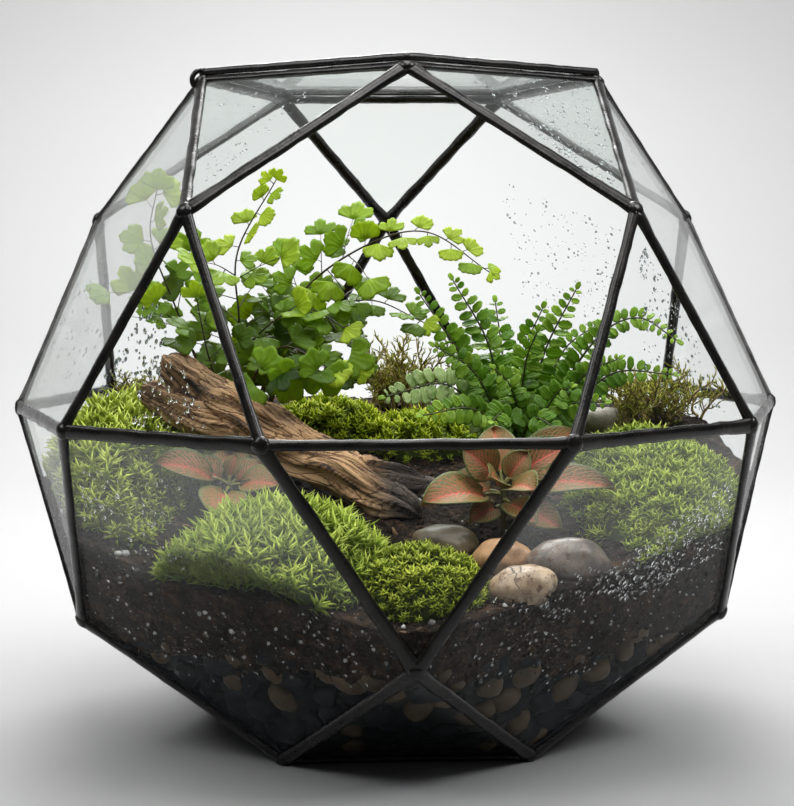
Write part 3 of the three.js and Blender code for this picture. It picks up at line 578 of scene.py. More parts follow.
def stone_finish(name, dark, light, scale, roughness, veins=0.0, rust=0.0, streak=(1, 1, 1), tinted=False,
                 gloss=0.5):
    """A water-worn stone: cloudy colour, fine speckle and, on some, dark cracks, pits and rust."""
    recipe = Recipe(name)
    place = recipe.stretched(streak)
    clouds = recipe.noise(scale, 6, 0.62, place)
    speckle = recipe.noise(scale * 14, 3, 0.7)
    colour = recipe.ramp(clouds, (0.32, dark), (0.66, light))
    if tinted:
        colour = recipe.mix(recipe.tint(), colour, recipe.ramp(clouds, (0.3, light), (0.7, dark)))
    freckles = recipe.patches(scale * 4.5, 4, 0.54, 0.62, 0, rust, 0.7)
    colour = recipe.mix(freckles, colour, (0.13, 0.055, 0.026))
    pits = recipe.levels(speckle, 0.30, 0.44, 0.55, 0)
    colour = recipe.mix(pits, colour, dimmed(dark, 0.35))
    bent = recipe.noise(scale * 3, 3)
    cracks = recipe.cells(scale * 2.4, "DISTANCE_TO_EDGE").outputs["Distance"]
    lines = recipe.levels(recipe.sum(cracks, recipe.product(bent, 0.09)), 0.050, 0.095, veins, 0)
    patchy = recipe.product(lines, recipe.patches(scale * 1.1, 2, 0.52, 0.58))
    colour = recipe.mix(patchy, colour, (0.03, 0.02, 0.015))
    height = recipe.sum(clouds, recipe.product(speckle, 0.35))
    height = recipe.sum(height, recipe.product(patchy, 0.8), "SUBTRACT")
    recipe.skin_set(
        Base_Color=colour, Roughness=roughness, Specular_IOR_Level=gloss,
        Normal=recipe.bump(height, 0.45, 0.5),
    )
    return recipe.material


def damp_soil():
    recipe = Recipe("damp_soil")
    crumbs = recipe.cells(330)
    lumps = recipe.noise(150, 6, 0.75)
    fibres = recipe.noise(420, 4, 0.7, recipe.stretched((1, 1, 2.2), (0.3, 0.5, 0.2)))
    colour = recipe.ramp(
        lumps, (0.30, (0.002, 0.0014, 0.001)), (0.50, (0.017, 0.010, 0.006)), (0.70, (0.095, 0.055, 0.030)),
    )
    darker = recipe.patches(42, 4, 0.44, 0.62, 0, 0.8, 0.7)
    colour = recipe.mix(darker, colour, (0.004, 0.003, 0.0025))
    browner = recipe.patches(75, 5, 0.52, 0.68, 0, 0.7, 0.7)
    brown = recipe.ramp(lumps, (0.35, (0.012, 0.006, 0.004)), (0.7, (0.12, 0.058, 0.03)))
    colour = recipe.mix(browner, colour, brown)
    colour = recipe.mix(recipe.levels(fibres, 0.62, 0.70, 0, 0.6), colour, (0.13, 0.075, 0.042))
    colour = recipe.mix(recipe.patches(900, 2, 0.68, 0.74, 0, 0.8), colour, (0.42, 0.38, 0.33))
    height = recipe.sum(crumbs.outputs["Distance"], lumps)
    recipe.skin_set(
        Base_Color=colour, Roughness=0.85, Specular_IOR_Level=0.12,
        Normal=recipe.bump(height, 0.9, 1.6),
    )
    return recipe.material


def plain_grain(name, dark, light, scale, roughness, bump=0.5):
    """A small dry thing whose colour goes by its tint, with a little grain."""
    recipe = Recipe(name)
    grain = recipe.noise(scale, 4, 0.65)
    by_tint = recipe.ramp(recipe.tint(), (0, dark), (1, light))
    colour = recipe.mix(recipe.levels(grain, 0.4, 0.75, 0, 0.5), by_tint, dimmed(dark, 0.5))
    recipe.skin_set(Base_Color=colour, Roughness=roughness, Normal=recipe.bump(grain, bump, 0.4))
    return recipe.material


def weathered_wood():
    """Fibres that run down the branch: pale ridges, dark cracks, and a charred low end."""
    recipe = Recipe("weathered_wood")
    down_the_branch = recipe.add("Attribute", attribute_name="grain_place").outputs["Vector"]
    fibres = recipe.noise(14, 7, 0.78, down_the_branch, 0.35)
    cords = recipe.noise(3.2, 4, 0.6, down_the_branch, 0.25)
    cracks = recipe.cells(4.2, "DISTANCE_TO_EDGE", down_the_branch).outputs["Distance"]
    split = recipe.levels(cracks, 0.0, 0.07, 0, 1)
    ridge = recipe.tint()
    patches = recipe.noise(38, 3)
    relief = recipe.sum(recipe.sum(fibres, cords), ridge)
    worn = recipe.levels(relief, 0.95, 1.75, 0, 1)
    worn = recipe.product(worn, recipe.levels(split, 0, 1, 0.3, 1))
    tan = recipe.ramp(
        worn, (0.05, (0.016, 0.009, 0.005)), (0.22, (0.12, 0.060, 0.028)),
        (0.42, (0.38, 0.19, 0.085)), (0.70, (0.72, 0.44, 0.23)),
    )
    brown = recipe.ramp(
        worn, (0.08, (0.012, 0.008, 0.006)), (0.4, (0.13, 0.070, 0.036)), (0.75, (0.42, 0.255, 0.145)),
    )
    colour = recipe.mix(recipe.levels(patches, 0.48, 0.64, 0, 0.75), tan, brown)
    along = recipe.sum(recipe.axis("X"), recipe.levels(patches, 0, 1, -0.012, 0.012))
    charred = recipe.ramp(worn, (0.2, (0.006, 0.005, 0.005)), (0.8, (0.085, 0.07, 0.068)))
    colour = recipe.mix(recipe.levels(along, -0.020, -0.004, 0, 0.92), colour, charred)
    colour = recipe.mix(recipe.levels(along, -0.108, -0.078, 0.75, 0), colour, brown)
    bump = recipe.bump(recipe.sum(fibres, recipe.product(split, 0.5)), 0.9, 1.3)
    bump = recipe.bump(cords, 0.6, 1.6, bump)
    recipe.skin_set(Base_Color=colour, Roughness=recipe.levels(worn, 0.2, 0.8, 0.6, 0.82), Normal=bump)
    return recipe.material


def green_blades(name, low, middle, high, through):
    """Moss and sprigs: dark at the root and bright at the tip, with light let through."""
    recipe = Recipe(name)
    colour = recipe.ramp(recipe.tint(), (0.12, low), (0.5, middle), (0.95, high))
    patches = recipe.patches(60, 3, 0.42, 0.7, 0, 0.6)
    colour = recipe.mix(patches, colour, dimmed(middle, 0.55))
    recipe.skin_set(Base_Color=colour, Roughness=0.6, Specular_IOR_Level=0.25)
    recipe.shine_through(recipe.mix(0.4, colour, through), 0.4)
    return recipe.material


def fern_leaf(name, dark, middle, light, through, share, roughness, ribs):
    """A thin leaf with fine ribs that fan out from its foot, its green going by its tint."""
    recipe = Recipe(name)
    split = recipe.add("SeparateXYZ", {"Vector": recipe.leaf_map()})
    wave = recipe.sum(recipe.product(split.outputs["X"], ribs), 0, "SINE")
    patches = recipe.noise(110, 3)
    colour = recipe.ramp(recipe.tint(), (0.05, dark), (0.5, middle), (0.95, light))
    colour = recipe.mix(recipe.levels(patches, 0.4, 0.75, 0, 0.35), colour, dark)
    colour = recipe.mix(recipe.levels(wave, 0.5, 1, 0, 0.22), colour, dark)
    bump = recipe.bump(recipe.sum(wave, recipe.product(patches, 2.0)), 0.25, 0.25)
    recipe.skin_set(Base_Color=colour, Roughness=roughness, Specular_IOR_Level=0.35, Normal=bump)
    recipe.shine_through(recipe.mix(0.55, colour, through), share, bump)
    return recipe.material


def nerve_leaf():
    """Olive green with a net of orange-pink veins, which run together round the middle rib."""
    recipe = Recipe("nerve_leaf")
    split = recipe.add("SeparateXYZ", {"Vector": recipe.leaf_map()})
    aside = recipe.sum(recipe.sum(split.outputs["X"], 0.5, "SUBTRACT"), 0, "ABSOLUTE")
    along = split.outputs["Y"]
    lean = recipe.sum(recipe.product(along, 9.5), recipe.product(aside, 9.0), "SUBTRACT")
    side_vein = recipe.sum(recipe.sum(recipe.sum(lean, 1.0, "FRACT"), 0.5, "SUBTRACT"), 0, "ABSOLUTE")
    side_line = recipe.levels(side_vein, 0.03, 0.17, 1, 0)
    rib_line = recipe.levels(aside, 0.006, 0.035, 1, 0)
    net_place = recipe.add("Mapping", {"Vector": recipe.leaf_map(), "Scale": (11, 13, 1)}).outputs[0]
    net = recipe.cells(1, "DISTANCE_TO_EDGE", net_place).outputs["Distance"]
    net_line = recipe.levels(net, 0.02, 0.15, 0.58, 0)
    veins = recipe.sum(recipe.sum(side_line, rib_line, "MAXIMUM"), net_line, "MAXIMUM")
    glow = recipe.levels(aside, 0.03, 0.22, 0.2, 0.0)
    inked = recipe.sum(veins, glow, "MAXIMUM")
    green = recipe.ramp(recipe.tint(), (0.1, (0.080, 0.100, 0.020)), (0.9, (0.21, 0.23, 0.058)))
    pink = recipe.ramp(recipe.levels(aside, 0, 0.35), (0.0, (0.86, 0.15, 0.10)), (0.8, (0.60, 0.215, 0.085)))
    rim = recipe.levels(aside, 0.40, 0.47, 1, 0)
    colour = recipe.mix(recipe.product(inked, rim), green, pink)
    bump = recipe.bump(veins, 0.5, -0.35, recipe.bump(recipe.noise(500, 3), 0.25, 0.3))
    recipe.skin_set(Base_Color=colour, Roughness=0.42, Normal=bump)
    recipe.shine_through(colour, 0.25, bump)
    return recipe.material


# The floor's and wall's tones by depth: darker near the camera as painted shade, lighter on the wall as
# painted light.
PAPER_SPAN = (-0.8, 1.4)
PAPER_TONES_WITH_PAINTED_SHADE = [
    (-0.512, 0.05), (-0.128, 0.34), (0.064, 0.36), (0.192, 0.375), (0.6, 0.385), (1.1, 0.40), (1.27, 0.46),
]


def studio_paper():
    """Pale behind the vessel, greyer towards the camera as painted shade where the floor in front lies in
    the vessel's shadow, and lightest up the wall as painted light.
    """
    recipe = Recipe("studio_paper")
    nearest, farthest = PAPER_SPAN
    stops = [((back - nearest) / (farthest - nearest), (tone,) * 3) for back, tone in PAPER_TONES_WITH_PAINTED_SHADE]
    tone = recipe.ramp(recipe.levels(recipe.axis("Y"), nearest, farthest), *stops)
    recipe.skin_set(Base_Color=tone, Roughness=0.75)
    return recipe.material


# How much a pane mirrors face on and edge on, where the photograph shows little of it.
FAINT_MIRROR = (0.0008, 0.28)
# The heights between which a pane's haze thickens, and its most.
LEFT_VEIL = (74, 108, 0.056)
RIGHT_VEIL = (80, 115, 0.06)
SOLDER = patinated_solder()
CLEAR_PANE = pane_glass("clear_pane", (0.985, 0.992, 0.99), 0.002)
TOP_PANE = pane_glass("green_tinted_pane", (0.94, 0.956, 0.948), 0.03)
MISTED_PANE = pane_glass("misted_pane", (0.97, 0.98, 0.978), 0.055)
LEFT_VEILED_PANE = pane_glass("left_veiled_pane", (0.98, 0.988, 0.986), 0.006, LEFT_VEIL, FAINT_MIRROR)
RIGHT_VEILED_PANE = pane_glass("right_veiled_pane", (0.98, 0.988, 0.986), 0.002, RIGHT_VEIL, FAINT_MIRROR)
THICK_MIST_PANE = pane_glass("thick_mist_pane", (0.975, 0.985, 0.983), 0.11)
WATER = water("water_drop", (1, 1, 1))
# Grey-tinted drops: painted shade, so that drops over bright glass read dark, as drops that refract a dark
# room do.
PAINTED_SHADE_WATER = water("painted_shade_water_drop", (0.50, 0.53, 0.55))
SLATE = stone_finish(
    "blue_slate", (0.0022, 0.0032, 0.0045), (0.013, 0.0165, 0.022), 60, 0.5,
    streak=(1, 1, 4), tinted=True, gloss=0.1,
)
PEBBLE = stone_finish(
    "tan_pebble", (0.030, 0.019, 0.010), (0.15, 0.10, 0.053), 70, 0.45, tinted=True, gloss=0.22,
)
SOIL = damp_soil()
PERLITE = plain_grain("perlite", (0.16, 0.15, 0.14), (0.86, 0.85, 0.82), 900, 0.8)
BARK = plain_grain("bark_chip", (0.03, 0.016, 0.010), (0.36, 0.20, 0.105), 500, 0.85, 0.8)
WOOD = weathered_wood()
PAPER = studio_paper()


# The floor and wall, in metres: where the floor starts, and its bend up into the wall.
FLOOR_NEAR = -1.9
BEND_START = 0.75
BEND_RADIUS = 0.55
BEND_STEPS = 16
WALL_TOP = 2.6
PAPER_HALF = 2.4
SKY_COLOUR = (0.95, 0.98, 1.0, 1)
SKY_STRENGTH = 0.07


def set_stage():
    """A pale floor that curves up into the wall behind, soft lamps and a bright sky."""
    scene = bpy.context.scene
    scene.view_settings.view_transform = "Standard"
    scene.view_settings.exposure = 0.0
    scene.cycles.max_bounces = 12
    scene.cycles.transparent_max_bounces = 32
    scene.cycles.transmission_bounces = 6
    scene.cycles.caustics_reflective = False
    scene.cycles.caustics_refractive = False
    world = bpy.data.worlds.new("sky")
    scene.world = world
    world.use_nodes = True
    sky = world.node_tree.nodes["Background"]
    sky.inputs["Color"].default_value = SKY_COLOUR
    sky.inputs["Strength"].default_value = SKY_STRENGTH

    outline = [(FLOOR_NEAR, 0), (BEND_START, 0)]
    for step in range(1, BEND_STEPS + 1):
        turn = math.radians(90 * step / BEND_STEPS)
        back = BEND_START + BEND_RADIUS * math.sin(turn)
        outline.append((back, BEND_RADIUS - BEND_RADIUS * math.cos(turn)))
    outline.append((BEND_START + BEND_RADIUS, WALL_TOP))
    sides = (-PAPER_HALF, PAPER_HALF)
    rows = [Vector((across, along, up)) / MM for along, up in outline for across in sides]
    heap = Heap()
    heap.add(rows, [(2 * k, 2 * k + 1, 2 * k + 3, 2 * k + 2) for k in range(len(outline) - 1)])
    sweep = new_piece("floor_and_wall", heap, [PAPER])

    lamps = [
        # name, place, where it looks, size, power, colour
        ("lamp_behind", (0.0, 0.85, 1.05), (0, 0, 0.12), 0.8, 20, (1.0, 1.0, 1.0)),
        ("lamp_overhead", (0.02, -0.05, 1.45), (0, 0, 0.14), 0.9, 13, (1.0, 0.995, 0.98)),
        ("lamp_wall_left", (-0.9, 0.1, 1.3), (-0.5, 1.3, 0.7), 0.8, 5.2, (1.0, 1.0, 1.0)),
        ("lamp_wall_right", (0.9, 0.1, 1.3), (0.5, 1.3, 0.7), 0.8, 5.6, (1.0, 1.0, 1.0)),
        ("lamp_left", (-0.95, -0.4, 1.25), (0, 0, 0.16), 0.7, 7, (0.98, 0.99, 1.0)),
        ("lamp_right", (0.95, -0.4, 1.25), (0, 0, 0.16), 0.7, 11.5, (0.98, 0.99, 1.0)),
        ("lamp_front", (0.0, -0.85, 1.5), (0, 0, 0.16), 0.6, 6, (1.0, 1.0, 1.0)),
    ]
    for name, place, look_at, size, power, colour in lamps:
        lamp = bpy.data.lights.new(name, "AREA")
        lamp.shape = "DISK"
        lamp.size = size
        lamp.energy = power
        lamp.color = colour
        holder = bpy.data.objects.new(name, lamp)
        holder.location = place
        aim = Vector(look_at) - Vector(place)
        holder.rotation_euler = aim.to_track_quat("-Z", "Y").to_euler()
        bpy.context.collection.objects.link(holder)


# By how a pane's name starts. The other panes are clear.
PANE_FINISHES = {
    "pane_top": TOP_PANE,
    "pane_crown": TOP_PANE,
    "pane_upper_left": THICK_MIST_PANE,
    "pane_upper_right": MISTED_PANE,
    "pane_shoulder_left_rear": MISTED_PANE,
    "pane_lower_front_left": LEFT_VEILED_PANE,
    "pane_lower_front_right": RIGHT_VEILED_PANE,
    "pane_hip_left": LEFT_VEILED_PANE,
    "pane_hip_right": RIGHT_VEILED_PANE,
    "pane_lower_left_rear": MISTED_PANE,
}


def glaze():
    for name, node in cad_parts.items():
        if name.startswith("pane_"):
            found = [finish for start, finish in PANE_FINISHES.items() if name.startswith(start)]
            for slot in node.material_slots:
                slot.material = found[0] if found else CLEAR_PANE


# The soldered seams: a lumpy bar along each edge, and a puddle of solder at each corner.
SEAM_OUT = 2.8
OPENING_SEAM_OUT = 2.1
SEAM_CROWN = 1.55
SEAM_FOOT = 1.45
SEAM_SIDES = 10
SEAM_ROWS = 32
PUDDLE_SWELL = 0.24
PUDDLE_REACH = 7.5
LUMP_ACROSS = 3.7
LUMP_OUT = 2.35


def seam_edges():
    """Each edge once, with the two ways that its faces look."""
    found = {}
    for face in FACES.values():
        for start, end in face.edges():
            key = tuple(sorted((tuple(round(n, 2) for n in start), tuple(round(n, 2) for n in end))))
            found.setdefault(key, [start, end, []])[2].append(face.normal)
    return [tuple(each) for each in found.values()]


def solder_ripple(point, reach):
    lumps = noise.noise(point / 9) * 0.30 + noise.noise(point / 3.4) * 0.16
    return reach * (1 + lumps * 0.55)


def inside_height(point):
    point.z = min(max(point.z, 0), BAND_FLOOR - 0.05)
    return point


def add_seam_bar(heap, start, end, out, half_width):
    """A half-round bar, with its flat foot inside, that swells into the puddles at its ends."""
    length = (end - start).length
    way = (end - start) / length
    side = way.cross(out).normalized()
    points = []
    for k in range(SEAM_ROWS):
        share = k / (SEAM_ROWS - 1)
        middle = start.lerp(end, share)
        near_end = min(share, 1 - share) * length
        swell = 1 + PUDDLE_SWELL * math.exp(-(near_end / PUDDLE_REACH) ** 2)
        for j in range(SEAM_SIDES):
            turn = FULL_TURN * (j + 0.5) / SEAM_SIDES
            across = half_width * math.cos(turn)
            rise = SEAM_FOOT * math.sin(turn)
            if rise > 0:
                rise = SEAM_CROWN * math.sin(turn) ** 0.8
            reach = solder_ripple(middle + side * across * 3 + out * rise * 3, swell)
            points.append(inside_height(middle + (side * across + out * rise) * reach))
    heap.add(points, closed_tube_faces(SEAM_ROWS, SEAM_SIDES))


def make_seams():
    heap = Heap()
    corners = {}
    for start, end, ways in seam_edges():
        out = sum(ways, Vector()).normalized()
        is_low = min(start.z, end.z) < EQUATOR_HEIGHT + 40
        by_the_opening = is_low and FACES[OPEN_FACE].normal in ways
        add_seam_bar(heap, start, end, out, OPENING_SEAM_OUT if by_the_opening else SEAM_OUT)
        for place in (start, end):
            corners.setdefault(tuple(round(n, 2) for n in place), place)
    ball = ball_shape(3)
    for place in corners.values():
        out = (place - MIDDLE).normalized()
        points = []
        for point in ball.points:
            ripple = 1 + 0.10 * noise.noise(point * 1.3 + place) + 0.05 * noise.noise(point * 3 - place)
            across = point - out * point.dot(out)
            lump = across * LUMP_ACROSS + out * point.dot(out) * LUMP_OUT
            points.append(inside_height(place + lump * ripple))
        heap.add(points, ball.faces)
    piece = new_piece("soldered_seams", heap, [SOLDER])
    settle(piece, "soldered_seam", "frame")


# The band's section, across it and up, and how many sections lie along each side of the ring.
BAND_SECTION = [(-0.5, 0.0), (-0.46, 0.55), (-0.3, 0.92), (0, 1.0), (0.3, 0.92), (0.46, 0.55), (0.5, 0.0)]
BAND_ROWS = 40
EYE_AZIMUTH = -72
EYE_DROP = 5.3
EYE_RADIUS = 4.2
EYE_WIRE = 1.1
EYE_STEPS = 18
EYE_FROM = 95
EYE_SWEEP = 150


def make_band():
    """The flat band soldered on the top ring, and the wire eye at its left corner."""
    heap = Heap()
    points = []
    turns = [math.radians(azimuth) for azimuth in FIFTHS]
    ring = []
    for first, second in zip(turns, turns[1:] + turns[:1]):
        for k in range(BAND_ROWS):
            ring.append((first, second, k / BAND_ROWS))
    for first, second, share in ring:
        for across, rise in BAND_SECTION:
            spots = []
            for turn in (first, second):
                radius = TOP_RADIUS + BAND_OVERHANG + (across - 0.5) * BAND_WIDTH
                spots.append(Vector((radius * math.sin(turn), -radius * math.cos(turn) - CENTRE_SHIFT, 0)))
            spot = spots[0].lerp(spots[1], share)
            ripple = 1 + 0.10 * noise.noise(Vector((spot.x / 7, spot.y / 7, across)))
            points.append(Vector((spot.x, spot.y, BAND_FLOOR + BAND_HEIGHT * rise * ripple)))
    count = len(BAND_SECTION)
    faces = []
    for k in range(len(ring)):
        ahead = (k + 1) % len(ring)
        for j in range(count):
            after = (j + 1) % count
            faces.append((k * count + j, k * count + after, ahead * count + after, ahead * count + j))
    heap.add(points, faces)

    toward = math.radians(EYE_AZIMUTH)
    out = Vector((math.sin(toward), -math.cos(toward), 0))
    eye_middle = top_corner(EYE_AZIMUTH) + out * 0.1
    eye_middle.z = BAND_FLOOR + BAND_HEIGHT - EYE_DROP
    stops = []
    for k in range(EYE_STEPS + 1):
        turn = math.radians(EYE_FROM - EYE_SWEEP * k / EYE_STEPS)
        stops.append(eye_middle + (out * math.cos(turn) + UP * math.sin(turn)) * EYE_RADIUS)
    add_tube(heap, stops, [EYE_WIRE] * len(stops), sides=10)
    piece = new_piece("top_band_and_eye", heap, [SOLDER])
    settle(piece, "soldered_seam", "top_band")


# The drainage bed: angular chips of slate and round tan pebbles, laid against the glass.
SEEN_TAN_PEBBLES = [
    (230, 664), (275, 709), (318, 678), (341, 691), (393, 706), (444, 712), (497, 694),
    (513, 710), (536, 682), (605, 678), (573, 696), (365, 690), (460, 694), (420, 722),
]
CLEAR_OF_GLASS = 1.9
LUMP_SPACING = 9.5
LUMP_DEPTH = 4.5
CHIP_SIZES = (16, 25)
PEBBLE_SIZES = (12, 16)
SEEN_PEBBLE_SIZES = (15, 20)
PEBBLE_SHARE = 0.2


def pulled_inside(points, clearance):
    """Points shifted together until none lies nearer any pane than the clearance."""
    for _ in range(3):
        for face in FACES.values():
            nearest = min(face.normal.dot(face.middle - point) for point in points)
            if nearest < clearance:
                shift = face.normal * (nearest - clearance)
                points = [point + shift for point in points]
    return points


def chip_shape(seed):
    """A flat angular chip: the hull of a few points, with its edges worn."""
    draw = random.Random(seed)
    build = bmesh.new()
    for _ in range(13):
        way = Vector([draw.uniform(-1, 1) for _ in range(3)]).normalized()
        boxy = Vector((way.x * 0.62, way.y * 0.46, way.z * 0.27))
        build.verts.new(boxy * draw.uniform(0.86, 1.1) * MM)
    hull = bmesh.ops.convex_hull(build, input=build.verts)
    loose = [part for part in hull["geom_interior"] if isinstance(part, bmesh.types.BMVert)]
    bmesh.ops.delete(build, geom=loose, context="VERTS")
    bmesh.ops.bevel(build, geom=build.edges[:], offset=0.04 * MM, segments=1, affect="EDGES")
    bmesh.ops.recalc_face_normals(build, faces=build.faces)
    mesh = bpy.data.meshes.new("chip")
    build.to_mesh(mesh)
    build.free()
    return shape_of(bpy.data.objects.new("chip", mesh))


def pebble_shape(seed, subdivisions=3, sizes=(1, 0.78, 0.6), uneven=1.0):
    """A water-worn pebble, one unit long from its middle to its end."""
    shape = ball_shape(subdivisions)
    shift = Vector((seed * 7.1, seed * 3.7, seed))
    worn = []
    for point in shape.points:
        lumps = 0.13 * noise.noise(point * 0.9 + shift) + 0.05 * noise.noise(point * 2.1 - shift)
        swell = 1 + uneven * lumps
        worn.append(Vector([part * size for part, size in zip(point * swell, sizes)]))
    shape.points = worn
    return shape


def add_against_glass(heap, shape, face, place, size, draw, finish):
    """Lays a chip or pebble against a pane, with a little tilt."""
    tilt = shake(draw, 0.28)
    way = face.normal.orthogonal()
    way.rotate(Quaternion(face.normal, draw.uniform(0, FULL_TURN)))
    turn = frame_matrix(place, way + tilt, face.normal + tilt.yzx, size)
    points = pulled_inside([turn @ point for point in shape.points], CLEAR_OF_GLASS)
    if max(point.z for point in points) < GRAVEL_TOP + 7:
        heap.add(points, shape.faces, draw.random(), shape.maps, finish)


def spread_places(draw, count, gap, pick):
    """Places drawn in turn, each at least a gap from those before."""
    kept = []
    for _ in range(count * 30):
        place = pick(draw)
        if place and all((place[0] - other[0]).length > gap for other in kept):
            kept.append(place)
            if len(kept) == count:
                break
    return kept


def by_the_glass(inset):
    def pick(draw):
        azimuth = draw.uniform(-math.pi, math.pi)
        height = draw.uniform(5, GRAVEL_TOP - 1)
        place = off_axis(azimuth, reach_inside(azimuth, height, inset), height)
        return place, FACES[glass_met(azimuth, height)[1]]
    return pick


def on_the_base(draw):
    azimuth = draw.uniform(-math.pi, math.pi)
    distance = BASE_RADIUS * math.sqrt(draw.random()) * 0.86
    return off_axis(azimuth, distance, 6), FACES["base"]


def lumpy(point):
    """A point of the bed drawn in between its lumps."""
    inward = Vector((-point.x, -point.y - CENTRE_SHIFT, 0)).normalized()
    return point + inward * LUMP_DEPTH * min(noise.voronoi(point / LUMP_SPACING)[0][0], 0.9)


def along_the_seams(gap):
    """Places just inside the seams that border the bed, with a face for each."""
    places = []
    for start, end, ways in seam_edges():
        steps = round((end - start).length / gap)
        for k in range(steps + 1):
            spot = start.lerp(end, k / steps)
            if spot.z < GRAVEL_TOP + 3:
                out = sum(ways, Vector()).normalized()
                one_side = ways[k % 2]
                face = min(FACES.values(), key=lambda each: (each.normal - one_side).length)
                places.append((spot - out * 5, face))
    return places


GRAVEL_LAYERS = [
    # how many at most, the least gap between their middles, and where they lie
    (420, 9.4, by_the_glass(4.5)),
    (30, 12.5, by_the_glass(11)),
    (30, 16, on_the_base),
]
SEAM_CHIP_GAP = 9
SEEN_PEBBLE_ROOM = 9.5


def make_gravel():
    draw = random.Random(21)
    chips = [chip_shape(seed) for seed in range(11)]
    pebbles = [pebble_shape(seed, 2, (0.5, 0.42, 0.33)) for seed in range(6)]
    heap = Heap()
    add_round_bed(heap, 4.2, 3.6, lambda x, y: GRAVEL_TOP - 0.4, turns=260, side_rows=18, top_rows=6)
    heap.points = [lumpy(point) for point in heap.points]
    add_corner_fill(heap, 3, lambda x, y: GRAVEL_TOP - 6)
    tan_places = []
    for across, down in SEEN_TAN_PEBBLES:
        way = sight_line(across, down)
        for face in sorted(FACES.values(), key=lambda each: (each.middle - CAMERA_PLACE).length):
            if face.normal.dot(way) < -0.1:
                reach = face.normal.dot(face.middle - CAMERA_PLACE) / face.normal.dot(way)
                place = CAMERA_PLACE + way * reach
                if face.depth_inside(place) > 0 and place.z < GRAVEL_TOP + 4:
                    inner = place - face.normal * 5
                    tan_places.append((inner, face))
                    shape = draw.choice(pebbles)
                    size = draw.uniform(*SEEN_PEBBLE_SIZES)
                    add_against_glass(heap, shape, face, inner, size, draw, 1)
                    break
    places = along_the_seams(SEAM_CHIP_GAP)
    for count, gap, pick in GRAVEL_LAYERS:
        places += spread_places(draw, count, gap, pick)
    kinds = [(chips, CHIP_SIZES), (pebbles, PEBBLE_SIZES)]
    for place, face in places:
        if any((place - other).length < SEEN_PEBBLE_ROOM for other, _ in tan_places):
            continue
        kind = int(draw.random() < PEBBLE_SHARE)
        shapes, sizes = kinds[kind]
        shape = draw.choice(shapes)
        add_against_glass(heap, shape, face, place, draw.uniform(*sizes), draw, kind)
    piece = new_piece("gravel_chips", heap, [SLATE, PEBBLE])
    settle(piece, "gravel", "gravel_bed")


# The soil: one body that follows the glass, with its crumbs.
SOIL_INSET = GLASS_HALF + 1.3
SPILL_DEPTH = 15
SIDE_TOP = 112
FILL_STEPS = 40
FILL_DEPTH = 2.35
FILL_RADIUS = 1.3


def edge_reach(azimuth, surface, inset):
    """Where a surface meets the glass, from the axis."""
    height = 100.0
    for _ in range(24):
        reach = reach_inside(azimuth, height, inset)
        spot = off_axis(azimuth, reach, 0)
        height += (surface(spot.x, spot.y) - height) * 0.6
    return reach, height


def soil_spill(azimuth):
    """How far the soil has run down among the gravel, from 0 to about 1."""
    ring = Vector((math.cos(azimuth), math.sin(azimuth), 0))
    slow = noise.noise(ring * 3.1 + Vector((0, 0, 5)))
    fine = noise.noise(ring * 17) * 0.5
    to_the_sides = 0.35 * abs(math.sin(azimuth))
    return min(max(0.38 + to_the_sides + 0.5 * slow + fine, 0), 1)


def add_round_bed(heap, inset, floor, surface, turns, side_rows, top_rows, spill=0):
    """A bed that fills the vessel from a floor up to a surface, its foot spilling down the glass."""
    points = []
    for k in range(turns):
        azimuth = FULL_TURN * k / turns
        reach, height = edge_reach(azimuth, surface, inset)
        lowest = floor - spill * soil_spill(azimuth)
        for j in range(side_rows):
            level = lowest + (height - lowest) * j / (side_rows - 1)
            points.append(off_axis(azimuth, reach_inside(azimuth, level, inset), level))
        for j in range(1, top_rows):
            spot = off_axis(azimuth, reach * (1 - j / top_rows) ** 0.86, 0)
            points.append(Vector((spot.x, spot.y, surface(spot.x, spot.y))))
    rows = side_rows + top_rows - 1
    points.append(Vector((0, -CENTRE_SHIFT, surface(0, -CENTRE_SHIFT))))
    points.append(Vector((0, -CENTRE_SHIFT, floor)))
    faces = []
    for k in range(turns):
        ahead = (k + 1) % turns
        for j in range(rows - 1):
            faces.append((k * rows + j, ahead * rows + j, ahead * rows + j + 1, k * rows + j + 1))
        faces.append((k * rows + rows - 1, ahead * rows + rows - 1, len(points) - 2))
        faces.append((ahead * rows, k * rows, len(points) - 1))
    heap.add(points, faces)


def add_corner_fill(heap, least, surface):
    """Packs the angle behind each seam, where the bed itself stops short."""
    for start, end, ways in seam_edges():
        out = sum(ways, Vector()).normalized()
        spots = [start.lerp(end, k / FILL_STEPS) - out * FILL_DEPTH for k in range(FILL_STEPS + 1)]
        run = [spot for spot in spots if least < spot.z < surface(spot.x, spot.y)]
        if len(run) > 2:
            add_tube(heap, run, [FILL_RADIUS + 0.2 * noise.noise(spot / 2) for spot in run], 6)


def crumbly(point):
    """How far the soil's surface stands out or in at a point."""
    lumps = noise.noise(point / 7.5) * 1.3 + noise.noise(point / 3.1) * 0.9
    return lumps + noise.noise(point / 1.5) * 0.35


